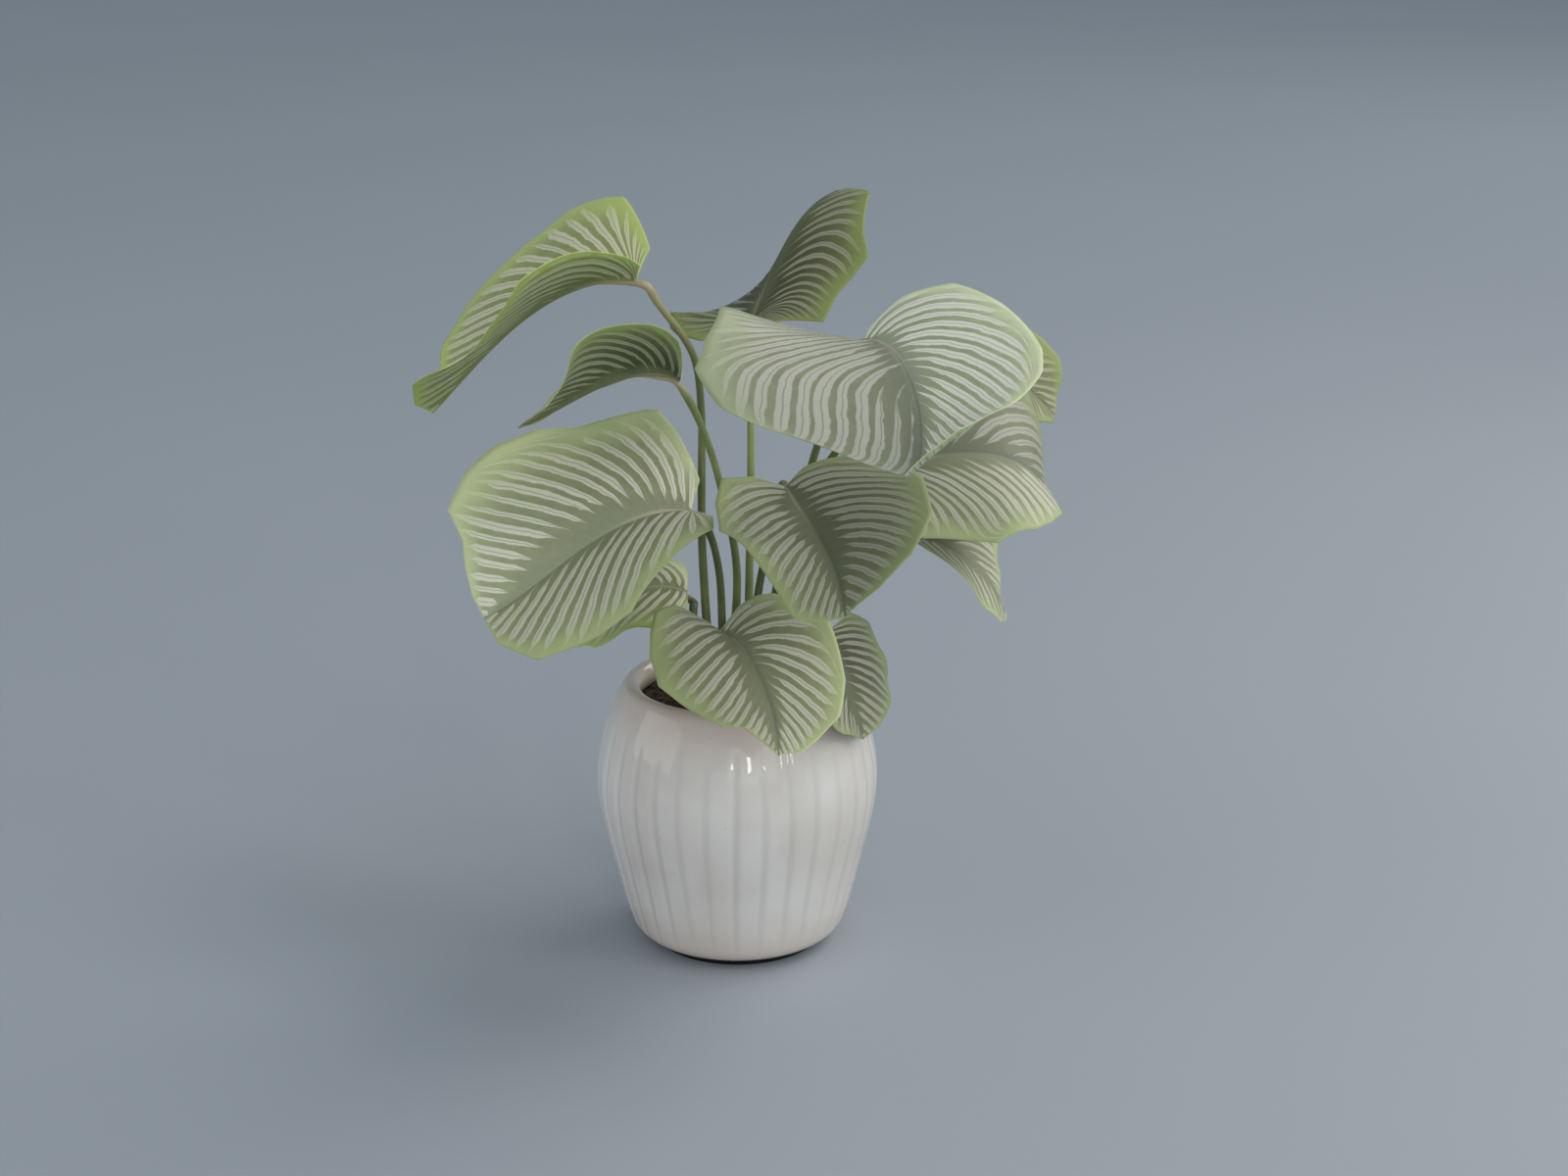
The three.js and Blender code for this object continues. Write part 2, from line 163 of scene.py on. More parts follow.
print("mid grey as linear light:", round(paint("#808080")[0], 3))

# %% [markdown]
# Placing and joining nodes takes many lines, so a small class does it. A value given to one of its
# functions may be a number or another node's output, and most of them return the output to go on
# with. A material then reads like a recipe.

# %% Node helpers
class Wiring:
    """Adds nodes to one node tree and joins them."""

    def __init__(self, tree):
        self.tree = tree

    def add(self, kind, inputs=None, **settings):
        """A node of a kind, with its settings, and each named input set or joined."""
        node = self.tree.nodes.new(kind)
        for name, value in settings.items():
            setattr(node, name, value)
        for socket, value in (inputs or {}).items():
            self.give(node.inputs[socket], value)
        return node

    def give(self, socket, value):
        """Joins the socket to an output, or sets it to a plain value."""
        if isinstance(value, bpy.types.NodeSocket):
            self.tree.links.new(value, socket)
        else:
            socket.default_value = value

    def maths(self, operation, *values):
        """One sum on numbers that change over the surface."""
        node = self.add("ShaderNodeMath", operation=operation)
        for socket, value in zip(node.inputs, values):
            self.give(socket, value)
        return node.outputs[0]

    def fade(self, value, low, high, start=0.0, end=1.0):
        """Runs smoothly from start to end while the value goes from low to high."""
        places = {"Value": value, "From Min": low, "From Max": high, "To Min": start, "To Max": end}
        node = self.add("ShaderNodeMapRange", places, interpolation_type="SMOOTHSTEP")
        return node.outputs[0]

    def blend(self, share, one, other, most=None):
        """One colour where share is 0, the other where it is 1. most scales the share down."""
        if most is not None:
            share = self.maths("MULTIPLY", share, most)
        node = self.add("ShaderNodeMix", data_type="RGBA")
        self.give(node.inputs[0], share)
        self.give(node.inputs[6], one)
        self.give(node.inputs[7], other)
        return node.outputs[2]

    def place(self):
        """Each point's place in metres, in the object's own coordinates."""
        return self.add("ShaderNodeTexCoord").outputs["Object"]

    def cloud(self, scale, detail=3.0, place=None):
        """Soft random patches of the given number to the metre, from 0 to 1."""
        settings = {"Vector": place or self.place(), "Scale": scale, "Detail": detail}
        return self.add("ShaderNodeTexNoise", settings).outputs[0]

    def dice(self, number):
        """A random value from 0 to 1, the same wherever the number is the same."""
        node = self.add("ShaderNodeTexWhiteNoise", {"W": number}, noise_dimensions="1D")
        return node.outputs["Value"]

    def split(self, vector):
        """The three numbers of a vector."""
        return self.add("ShaderNodeSeparateXYZ", {"Vector": vector}).outputs

    def attribute(self, name):
        """The outputs of an attribute that the mesh carries."""
        node = self.add("ShaderNodeAttribute", attribute_name=name, attribute_type="GEOMETRY")
        return node.outputs

    def effect(self, group, inputs=None):
        """The outputs of a shared effect, a node group, with its named inputs given."""
        return self.add("ShaderNodeGroup", inputs, node_tree=group).outputs


print("wiring helpers:", sum(not name.startswith("_") for name in vars(Wiring)))

# %% [markdown]
# An effect that several materials share is a node group. In Blender 4.5 its sockets belong to the
# tree's interface. A material itself starts with one shader that has all the usual controls.

# %% New groups and materials
def new_group(name, inputs, outputs):
    """An empty node group with named number inputs, each with its value, and named outputs."""
    tree = bpy.data.node_groups.new(name, "ShaderNodeTree")
    for label, value in inputs.items():
        socket = tree.interface.new_socket(label, in_out="INPUT", socket_type="NodeSocketFloat")
        socket.default_value = value
    for label, kind in outputs.items():
        tree.interface.new_socket(label, in_out="OUTPUT", socket_type=f"NodeSocket{kind}")
    wiring = Wiring(tree)
    given = wiring.add("NodeGroupInput").outputs
    handed_on = wiring.add("NodeGroupOutput").inputs
    return wiring, given, handed_on


def new_material(name):
    """A material, its wiring and its shader's inputs."""
    material = bpy.data.materials.new(name)
    material.use_nodes = True
    shader = material.node_tree.nodes["Principled BSDF"]
    return material, Wiring(material.node_tree), shader.inputs


print("materials so far:", len(bpy.data.materials))

# %% [markdown]
# The floor is a plain pale grey-blue sheet that runs past the top of the view, so no horizon
# shows. It needs no pattern, only a very faint unevenness, as painted board has.

# %% Floor
FLOOR_REACH = 30.0
FLOOR_PATCHES = 1.5

floor_paint, wires, shader = new_material("floor_paint")
floor_grey = wires.blend(wires.cloud(FLOOR_PATCHES), paint("#a4abb3"), paint("#a8afb7"))
wires.give(shader["Base Color"], floor_grey)
shader["Roughness"].default_value = 0.7
corners = np.array([[-1, -1, 0], [1, -1, 0], [1, 1, 0], [-1, 1, 0]]) * FLOOR_REACH
sheet = bpy.data.meshes.new("floor")
sheet.from_pydata(corners.tolist(), [], [[0, 1, 2, 3]])
sheet.materials.append(floor_paint)
floor = bpy.data.objects.new("floor", sheet)
scene.collection.objects.link(floor)
print("floor side in metres:", 2 * FLOOR_REACH)

# %% [markdown]
# ## One way to close every surface
#
# The pot, the soil, a stalk and a leaf blade look different, but each is a stack of closed rings
# with a point at either end. So one function makes them all. It takes the rings as an array of
# rows, columns and coordinates, joins each ring to the next with four-sided faces, and closes
# both ends with a fan of triangles. Going along a ring and then on to the next row turns around
# the outward side, so all faces point out.

# %% Faces between rings
def ring_faces(rows, columns):
    """The four-sided faces between neighbouring rings, as vertex numbers, row by row."""
    row, column = np.meshgrid(np.arange(rows - 1), np.arange(columns), indexing="ij")
    here = row * columns + column
    beside = row * columns + (column + 1) % columns
    return np.stack([here, beside, beside + columns, here + columns], -1).reshape(-1, 4)


def end_fans(rows, columns):
    """The triangles from the first ring to its end point and from the last ring to its own."""
    count = rows * columns
    around = np.arange(columns)
    beside = (around + 1) % columns
    last = (rows - 1) * columns
    start_fan = np.stack([np.full(columns, count), beside, around], -1)
    end_fan = np.stack([last + around, last + beside, np.full(columns, count + 1)], -1)
    return start_fan, end_fan


small_faces = [*ring_faces(3, 4), *np.concatenate(end_fans(3, 4))]
print("faces of three rings of four points:", len(small_faces))

# %% [markdown]
# A material often has to know where on the piece a point lies, such as how deep in a groove or on
# which vein. Such numbers are kept on the mesh as attributes, one value or three to a point. The
# piece then gets one material, or several picked by the column that a face starts from.

# %% Shells from rings
def add_attribute(mesh, label, values):
    """One number or three for every point. An end point takes the mean of the ring beside it."""
    rows, columns = values.shape[:2]
    kind, width = ("FLOAT", 1) if values.ndim == 2 else ("FLOAT_VECTOR", 3)
    rings = values.reshape(rows, columns, width)
    flat = np.concatenate([rings.reshape(-1, width), rings[[0, -1]].mean(1)])
    layer = mesh.attributes.new(label, kind, "POINT")
    layer.data.foreach_set("value" if width == 1 else "vector", flat.ravel())


def add_shell(name, rings, ends, materials, attributes=None, slot_of_column=None):
    """A closed, smooth-shaded piece from rings[row, column, xyz] and its two end points."""
    rows, columns, _ = rings.shape
    start_fan, end_fan = end_fans(rows, columns)
    faces = [*start_fan.tolist(), *ring_faces(rows, columns).tolist(), *end_fan.tolist()]
    points = np.concatenate([rings.reshape(-1, 3), np.array(ends)])
    mesh = bpy.data.meshes.new(name)
    mesh.from_pydata((points * MM).tolist(), [], faces)
    for label, values in (attributes or {}).items():
        add_attribute(mesh, label, values)
    for material in materials:
        mesh.materials.append(material)
    if slot_of_column is not None:
        slots = np.tile(slot_of_column, rows + 1)
        mesh.polygons.foreach_set("material_index", slots.astype(np.int32))
    mesh.polygons.foreach_set("use_smooth", np.ones(len(faces), dtype=bool))
    mesh.update()
    piece = bpy.data.objects.new(name, mesh)
    scene.collection.objects.link(piece)
    return piece


def seat(piece, node):
    """The piece hangs under the root and stands in for a solid of the frame, which is hidden."""
    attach(piece, "root")
    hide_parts(node)
    print(piece.name, "faces:", len(piece.data.polygons))


# %% [markdown]
# A smooth line through a few given points is needed twice: for the pot's profile and for the
# stalks. The curve used here is the centripetal Catmull-Rom spline. It passes through every
# point, and where points lie close together it doesn't overshoot.

# %% Smooth lines
STEPS_BETWEEN_POINTS = 40


def smooth_line(points, count, crowding=1.0):
    """Points along the centripetal Catmull-Rom spline through the given points.

    Between two points the curve is the cubic with their places and with slopes taken from the
    neighbours, each weighted by the square root of its distance. The points are spaced evenly, or
    closer at the start where crowding is above 1: each share is raised to its power.
    """
    points = np.asarray(points, float)
    known = np.concatenate([[2 * points[0] - points[1]], points, [2 * points[-1] - points[-2]]])
    knots = np.sqrt(np.linalg.norm(np.diff(known, axis=0), axis=1))[:, None]
    before, between, after = knots[:-2], knots[1:-1], knots[2:]
    p0, p1, p2, p3 = known[:-3], known[1:-2], known[2:-1], known[3:]
    leave = (p1 - p0) / before - (p2 - p0) / (before + between) + (p2 - p1) / between
    arrive = (p2 - p1) / between - (p3 - p1) / (between + after) + (p3 - p2) / after
    leave, arrive = leave * between, arrive * between
    t = np.linspace(0, 1, STEPS_BETWEEN_POINTS, endpoint=False)[:, None, None]
    curve = p1 + leave * t + (3 * (p2 - p1) - 2 * leave - arrive) * t ** 2
    curve = curve + (2 * (p1 - p2) + leave + arrive) * t ** 3
    curve = np.concatenate([curve.transpose(1, 0, 2).reshape(-1, points.shape[1]), points[-1:]])
    travelled = np.concatenate([[0], np.cumsum(np.linalg.norm(np.diff(curve, axis=0), axis=1))])
    wanted = travelled[-1] * np.linspace(0, 1, count) ** crowding
    return np.stack([np.interp(wanted, travelled, column) for column in curve.T], -1)


print("middle of a bent line:", smooth_line([(0, 0), (1, 1), (2, 0)], 3)[1].round(2).tolist())

# %% [markdown]
# ## Two shared effects
#
# Natural and handmade surfaces are never one flat colour. Soft mottling mixes two tones in clouds,
# and its contrast says how hard their edges are. A fine grain tilts the normal a little, so that
# highlights break up. The glaze, the soil, the leaves and the stalks each use both with their own
# values.

# %% Shared effects: mottling and grain
GRAIN_HEIGHT = 0.0004

wires, given, out = new_group(
    "mottling", {"Scale": 20.0, "Contrast": 0.5}, {"Mask": "Float"}
)
low = wires.maths("MULTIPLY", given["Contrast"], 0.5)
high = wires.maths("SUBTRACT", 1.0, low)
wires.give(out["Mask"], wires.fade(wires.cloud(given["Scale"], 5.0), low, high))
mottling = wires.tree

wires, given, out = new_group(
    "grain", {"Scale": 900.0, "Depth": 0.1}, {"Normal": "Vector"}
)
relief = {"Height": wires.cloud(given["Scale"], 2.0), "Strength": given["Depth"],
          "Distance": GRAIN_HEIGHT}
wires.give(out["Normal"], wires.add("ShaderNodeBump", relief).outputs["Normal"])
grain = wires.tree
print("shared effects:", mottling.name, grain.name)

# %% [markdown]
# ## The pot
#
# The pot is thrown clay: a profile turned about the axis, with a thick rolled rim. It stands on a
# narrow ring that lies a little inside the wall. Round the foot the colour is painted near black, a
# painted shadow, so a dark line shows between pot and floor. The profile is a list of heights and
# radii, up the outside, over the rim and down the inside.

# %% Pot profile
POT_OUTSIDE = [
    (0, 66), (2.5, 66.6), (4.6, 67.6), (5.4, 70), (7, 74), (10, 78.8), (15, 83), (30, 88.5),
    (50, 93.5), (75, 99.5), (100, 105.5), (125, 109.5), (145, 109.5), (165, 106), (182, 101.5),
    (195, 96),
]
POT_RIM = [(204, 91.5), (210, 88), (213, 83.5), (212, 78.5), (208, 74.8), (203, 73.5)]
POT_INSIDE = [(197, 75.5), (186, 85), (165, 96), (120, 99), (60, 86), (12, 60)]
POT_ROWS = 170
ROW_CROWDING = 1.3

profile = smooth_line([*POT_OUTSIDE, *POT_RIM, *POT_INSIDE], POT_ROWS, ROW_CROWDING)
print("pot height and radius in mm:", profile.max(axis=0).round(1).tolist())

# %% [markdown]
# Soft flutes are pressed into the wall. Drawing the turned wall in at each groove keeps the flutes
# crisp halfway up and lets them fade at rim and foot. Handwork is never regular, so the grooves
# wander a little, some are deeper than others, and on one side they are all shallower.

# %% Fluted wall
POT_COLUMNS = 512
FLUTES = 32
FLUTE_DEPTH = 1.3
FLUTE_SHARPNESS = 5
FLUTE_FROM = 12
FLUTE_TO = 188
WANDER_SLOW = 0.012
WANDER_FAST = 0.008
WANDER_LEAN = 0.02
UNEVEN_SLOW = 0.28
UNEVEN_FAST = 0.22
SHALLOW_SIDE = 0.4
SHALLOW_TOWARD = -0.9


def pot_wall():
    """The profile carried round the axis, less the groove depth, and each point's groove share.

    A groove is ((1 + cos(flutes angle)) / 2) to the power of its sharpness. Its depth goes with the
    root of sin(pi way), where way runs from 0 to 1 up the wall. Sine waves, 3 and 7 to the turn,
    shift the grooves sideways, and 5 and 11 to the turn change their depth.
    """
    height, radius = profile[:, :1], profile[:, 1:]
    angle = np.arange(POT_COLUMNS) / POT_COLUMNS * 2 * np.pi
    way = np.clip((height - FLUTE_FROM) / (FLUTE_TO - FLUTE_FROM), 0, 1)
    outside = np.arange(POT_ROWS)[:, None] < np.argmax(profile[:, 0])
    wander = WANDER_SLOW * np.sin(3 * angle + 1)
    wander = wander + WANDER_FAST * np.sin(7 * angle + WANDER_LEAN * height)
    uneven = 1 + UNEVEN_SLOW * np.sin(5 * angle + 2) + UNEVEN_FAST * np.sin(11 * angle + 0.6)
    uneven = uneven - SHALLOW_SIDE * np.cos(angle - SHALLOW_TOWARD)
    groove = (0.5 + 0.5 * np.cos(FLUTES * (angle + wander))) ** FLUTE_SHARPNESS
    share = np.sqrt(np.sin(np.pi * way)) * outside
    wall = radius - FLUTE_DEPTH * share * uneven * groove
    rings = np.stack([wall * np.cos(angle), wall * np.sin(angle), height + 0 * wall], -1)
    return rings, groove * share


pot_rings, groove = pot_wall()
print("deepest groove in mm:", FLUTE_DEPTH * round(float(groove.max()), 2))

# %% [markdown]
# Glaze is glass on clay. It runs while it melts, so streaks hang down the wall: noise stretched
# along Z makes them. Where it pools it is whiter. In the grooves it is painted greyer: painted shade.
# Toward the rim and the foot it is thin, and the clay warms it from below. The left side is painted
# whiter than the right: painted light. Each of these is one more layer of colour over the last.

# %% Glaze colour
STREAK_STRETCH = (1, 1, 0.16)
WARM_TO_RIM = (0.165, 0.208)
WARM_TO_FOOT = (0.06, 0.004)
PAINTED_LIGHT_TO_LEFT = (-0.07, -0.105)

glaze, wires, shader = new_material("glaze")
spot = wires.place()
streaks = wires.add("ShaderNodeMapping", {"Vector": spot, "Scale": STREAK_STRETCH})
runs = wires.cloud(55.0, 4.0, streaks.outputs[0])
pools = wires.effect(mottling, {"Scale": 14.0})["Mask"]
groove_shade = wires.attribute("groove")["Fac"]
sideways, _, height = wires.split(spot)
body = wires.blend(runs, paint("#e2dad3"), paint("#d6cdc5"))
body = wires.blend(pools, body, paint("#eeebe7"), 0.8)
# Painted shade: the colour is greyer in the grooves.
body = wires.blend(groove_shade, body, paint("#c4bfb8"), 0.36)
body = wires.blend(wires.fade(height, *WARM_TO_RIM, 0.0, 0.75), body, paint("#dccabf"))
body = wires.blend(wires.fade(height, *WARM_TO_FOOT, 0.0, 0.7), body, paint("#dccbbe"))
# Painted light: the left side of the wall is painted whiter, where more light falls.
body = wires.blend(wires.fade(sideways, *PAINTED_LIGHT_TO_LEFT, 0.0, 0.8), body, paint("#f3eeea"))
print("glaze nodes so far:", len(wires.tree.nodes))

# %% [markdown]
# A few small brown specks come through, as from iron in the clay. They are the middles of Voronoi
# cells, and only where a cloud is at its thickest. Round the foot the colour is painted near black,
# a painted shadow under the pot, and the coat, which is the glassy layer, ends there. The same mask
# drives both, so the edge of the coat and of the painted shadow lie in one place.

# %% Glaze finish
SPECK_SCALE = 130.0
SPECK_EDGE = (0.09, 0.05)
RARE_ABOVE = (0.66, 0.7)
# Below these heights the foot is painted near black: a painted shadow under the pot.
SHADOW_RING_BELOW = (0.0052, 0.0062)

cells = wires.add("ShaderNodeTexVoronoi", {"Vector": spot, "Scale": SPECK_SCALE})
specks = wires.fade(cells.outputs["Distance"], *SPECK_EDGE)
rare = wires.fade(wires.cloud(60.0, 1.0), *RARE_ABOVE)
body = wires.blend(wires.maths("MULTIPLY", specks, rare), body, paint("#8a7a68"), 0.5)
# The mask is 0 round the foot, where the colour is a painted shadow and the coat ends.
glazed_above_painted_shadow = wires.fade(height, *SHADOW_RING_BELOW)
wires.give(shader["Base Color"], wires.blend(glazed_above_painted_shadow, paint("#161412"), body))
wires.give(shader["Roughness"], wires.fade(runs, 0.3, 0.7, 0.45, 0.6))
shader["Specular IOR Level"].default_value = 0.3
wires.give(shader["Coat Weight"], glazed_above_painted_shadow)
shader["Coat Roughness"].default_value = 0.05
skin = wires.effect(grain, {"Scale": 160.0, "Depth": 0.12})
wires.give(shader["Normal"], skin["Normal"])

pot_ends = [(0, 0, 0), (0, 0, POT_INSIDE[-1][0])]
pot = add_shell("glazed_pot", pot_rings, pot_ends, (glaze,), {"groove": groove})
seat(pot, "pot")

# %% [markdown]
# ## The soil
#
# Potting soil is a loose mix of peat crumbs and bark. A bumpy texture alone looks painted on from
# above, so the crumbs are real relief: many small domes scattered over a mound, and at each place
# the tallest dome counts. The soil reaches down inside the pot, a hair's breadth off its wall.

# %% Soil shape
SOIL_TOP = 196
SOIL_CROWN = 4
SOIL_EDGE_DROP = 1.5
SOIL_BOTTOM = 12.3
SOIL_RADIUS = 75.5
SOIL_OFF_WALL = 0.3
SOIL_RINGS = 84
SOIL_COLUMNS = 260
INNERMOST_RING = 0.012
CRUMBS = 1500
CRUMB_SIZES = (1.6, 4.6)
CRUMB_HEIGHT = 0.6
draw = np.random.default_rng(7)


def crumbs_at(x, y):
    """The tallest dome over each place, height sqrt(size² - distance²), or 0 beside them all."""
    spots = draw.uniform(-SOIL_RADIUS, SOIL_RADIUS, (CRUMBS, 2))
    sizes = draw.uniform(*CRUMB_SIZES, CRUMBS)
    tallest = np.zeros_like(x)
    for (cx, cy), size in zip(spots, sizes):
        inside = size ** 2 - (x - cx) ** 2 - (y - cy) ** 2
        tallest = np.maximum(tallest, CRUMB_HEIGHT * np.sqrt(np.maximum(inside, 0)))
    return tallest


def soil_rings():
    """Rings up the pot's inner wall, then inward over the mound and its crumbs.

    The mound rises from its edge by crown (1 - share²), where share is 1 at the edge.
    """
    angle = np.arange(SOIL_COLUMNS) / SOIL_COLUMNS * 2 * np.pi
    wall = [(height, radius - SOIL_OFF_WALL) for height, radius in POT_INSIDE[::-1]
            if height < SOIL_TOP]
    wall[0] = (SOIL_BOTTOM, wall[0][1])
    side = np.array(wall)
    share = np.linspace(1, INNERMOST_RING, SOIL_RINGS)
    radius = np.concatenate([side[:, 1], share * SOIL_RADIUS])[:, None] + 0 * angle
    x, y = radius * np.cos(angle), radius * np.sin(angle)
    top = slice(len(side), None)
    mound = SOIL_TOP - SOIL_EDGE_DROP + SOIL_CROWN * (1 - share[:, None] ** 2)
    z = np.concatenate([side[:, 0], np.zeros(SOIL_RINGS)])[:, None] + 0 * angle
    z[top] = mound + crumbs_at(x[top], y[top])
    return np.stack([x, y, z], -1)


soil_shape = soil_rings()
print("soil top in mm:", round(float(soil_shape[..., 2].max()), 1))

# %% [markdown]
# Damp peat is a dark, dull brown, and single crumbs of bark are lighter. A Voronoi texture gives
# every small cell its own random colour, so picking only the highest values lightens a few crumbs.

# %% Soil material
BARK_SCALE = 210.0
BARK_ABOVE = (0.82, 0.95)

earth, wires, shader = new_material("earth")
clods = wires.effect(mottling, {"Scale": 160.0, "Contrast": 0.7})["Mask"]
bark = wires.add("ShaderNodeTexVoronoi", {"Vector": wires.place(), "Scale": BARK_SCALE})
tone = wires.add("ShaderNodeSeparateColor", {"Color": bark.outputs["Color"]}).outputs[0]
brown = wires.blend(clods, paint("#35261d"), paint("#57412f"))
brown = wires.blend(wires.fade(tone, *BARK_ABOVE, 0.0, 0.7), brown, paint("#7b5f45"))
wires.give(shader["Base Color"], brown)
shader["Roughness"].default_value = 0.95
skin = wires.effect(grain, {"Scale": 700.0, "Depth": 0.8})
wires.give(shader["Normal"], skin["Normal"])

soil_ends = [(0, 0, SOIL_BOTTOM), soil_shape[-1].mean(0)]
soil = add_shell("potting_soil", soil_shape, soil_ends, (earth,))
seat(soil, "soil")

# %% [markdown]
# ## The leaves in numbers
#
# Every blade has the same make and its own pose. The pose is a handful of named values: where the
# blade starts, how long it is, which way its midrib heads and turns, how steep it is at the base,
# the middle and the tip, and how it rolls about the midrib.
#
# Left and right of the midrib, a half has a greatest width, a lobe that reaches behind the base, a
# fold up from the level at base, middle and tip, and a curl back toward the margin. Its margin is a
# list of corners, each given as the way along the midrib and the way out from it. Its veins, look
# and stroke are explained where they are used, with the side veins and the leaf material.
#
# The stalk has its own brightness, the place of its foot in the soil, the length of its pale end,
# sometimes the place where it meets the blade, and the points that it runs through.

# %% Leaves at the upper left
LEAVES = {
    "upper_left": {
        "base": (-72, -14, 529), "length": 211, "heading": 158, "turn": 9,
        "pitch": (0, -39, -47), "roll": (1, -1),
        "left": {"width": 80, "lobe": 0.02, "fold": (52, 7, 46), "curl": 13,
            "margin": [(-7, 15), (11, 34), (19, 47), (28, 61), (49, 87), (122, 52), (156, 56),
                (187, 45), (210, 20)],
            "veins": (14, 0.1, 1.2, 0.2, 3), "look": (1.55, 1.05, 0.45), "stroke": (0.24, 0.03, 0.3)},
        "right": {"width": 107, "lobe": 0.03, "fold": (53, 42, 40), "curl": 24,
            "margin": [(-3, 26), (9, 49), (26, 82), (70, 111), (124, 98), (166, 103), (189, 68),
                (191, 39)],
            "veins": (17, 0.35, 1.05, -0.1, 3), "look": (1.3, 1.32, 0.35), "stroke": (0.24, 0.03, 0.4)},
        "stem": 1.0,
        "foot": (-21, 14), "pale": 105,
        "through": [(-27, 28, 316), (-27, 42, 378), (-27, 42, 415), (-32, 26, 462), (-58, -8, 511)],
    },
    "mid_left": {
        "base": (-41, 10, 448), "length": 135, "heading": 164, "turn": 51,
        "pitch": (20, -24, -10), "roll": (-6, -12),
        "left": {"width": 76, "lobe": 0.03, "fold": (68, 56, 45), "curl": 19,
            "margin": [(2, 28), (4, 40), (10, 52), (18, 60), (42, 73), (71, 83), (93, 72), (135, 55)],
            "veins": (16, -0.1, 1.3, 0.3, 3), "look": (1.25, 0.92, 1.0), "stroke": (0.22, 0.06, 0.25)},
        "right": {"width": 60, "lobe": 0.02, "fold": (0, -15, -30), "curl": 20,
            "margin": [(9, 36), (45, 58), (87, 57), (123, 35)],
            "veins": (13, -0.1, 1.3, 0.3, 3), "look": (1.25, 0.92, 1.0), "stroke": (0.22, 0.06, 0.25)},
        "stem": 1.1,
        "foot": (-6, 14), "meets": 2, "pale": 16,
        "through": [(0, 16, 297), (-14, 14, 372), (-25, 12, 408), (-35, 11, 431)],
    },
}
print("leaves at the upper left:", len(LEAVES))

# %% [markdown]
# The next two stand highest. One rises at the back, and the largest of all comes forward on the
# right, with a right half that is much wider than its left.

# %% Leaves at the top and upper right
LEAVES |= {
    "top": {
        "base": (12, 57, 484), "length": 163, "heading": 72, "turn": -33,
        "pitch": (31, 41, -4), "roll": (-3, -5),
        "left": {"width": 79, "lobe": 0.32, "fold": (11, -63, -70), "curl": 12,
            "margin": [(-21, 11), (-39, 29), (-33, 50), (-21, 60), (37, 78), (99, 72), (147, 43)],
            "veins": (14, -0.1, 1.3, 0.3, 3), "look": (0.62, 1.3, 1.0), "stroke": (0.2, 0.08, 0.3)},
        "right": {"width": 70, "lobe": 0.09, "fold": (5, 4, 5), "curl": 24,
            "margin": [(-7, 8), (-1, 26), (3, 57), (36, 61), (79, 75), (149, 40)],
            "veins": (15, 0.7, 0.55, -0.7, 30), "look": (0.6, 1.3, 1.0), "stroke": (0.2, 0.08, 0.3)},
        "stem": 1.55,
        "foot": (8, 26), "pale": 16,
        "through": [(11, 32, 366), (11, 42, 440)],
    },
    "upper_right": {
        "base": (92, -118, 505), "length": 207, "heading": 305, "turn": -57,
        "pitch": (12, -28, 16), "roll": (10, 18),
        "left": {"width": 88, "lobe": 0.07, "fold": (27, 19, 33), "curl": 14,
            "margin": [(-5, 12), (-2, 45), (16, 73), (47, 82), (96, 90), (117, 88), (131, 80),
                (172, 55), (200, 46), (207, 24)],
            "veins": (22, -0.2, 1.85, 0.35, 3), "look": (1.53, 0.74, 0.4), "stroke": (0.3, 0.02, 0.22)},
        "right": {"width": 154, "lobe": 0.17, "fold": (21, 17, 28), "curl": -18,
            "margin": [(-18, 41), (-14, 76), (15, 129), (59, 150), (98, 156), (149, 135), (207, 43)],
            "veins": (21, 0.35, 0, 0, 0.46), "look": (0.79, 0.74, 0.25), "stroke": (0.3, 0.0, 0.24)},
        "stem": 0.85,
        "foot": (22, -2), "pale": 24,
        "through": [(34, -14, 300), (57, -20, 388), (78, -88, 474)],
    },
}
print("with those at the top:", len(LEAVES))

# %% [markdown]
# The three leaves in the middle are broad ones. They spread in front of most of the stalks.

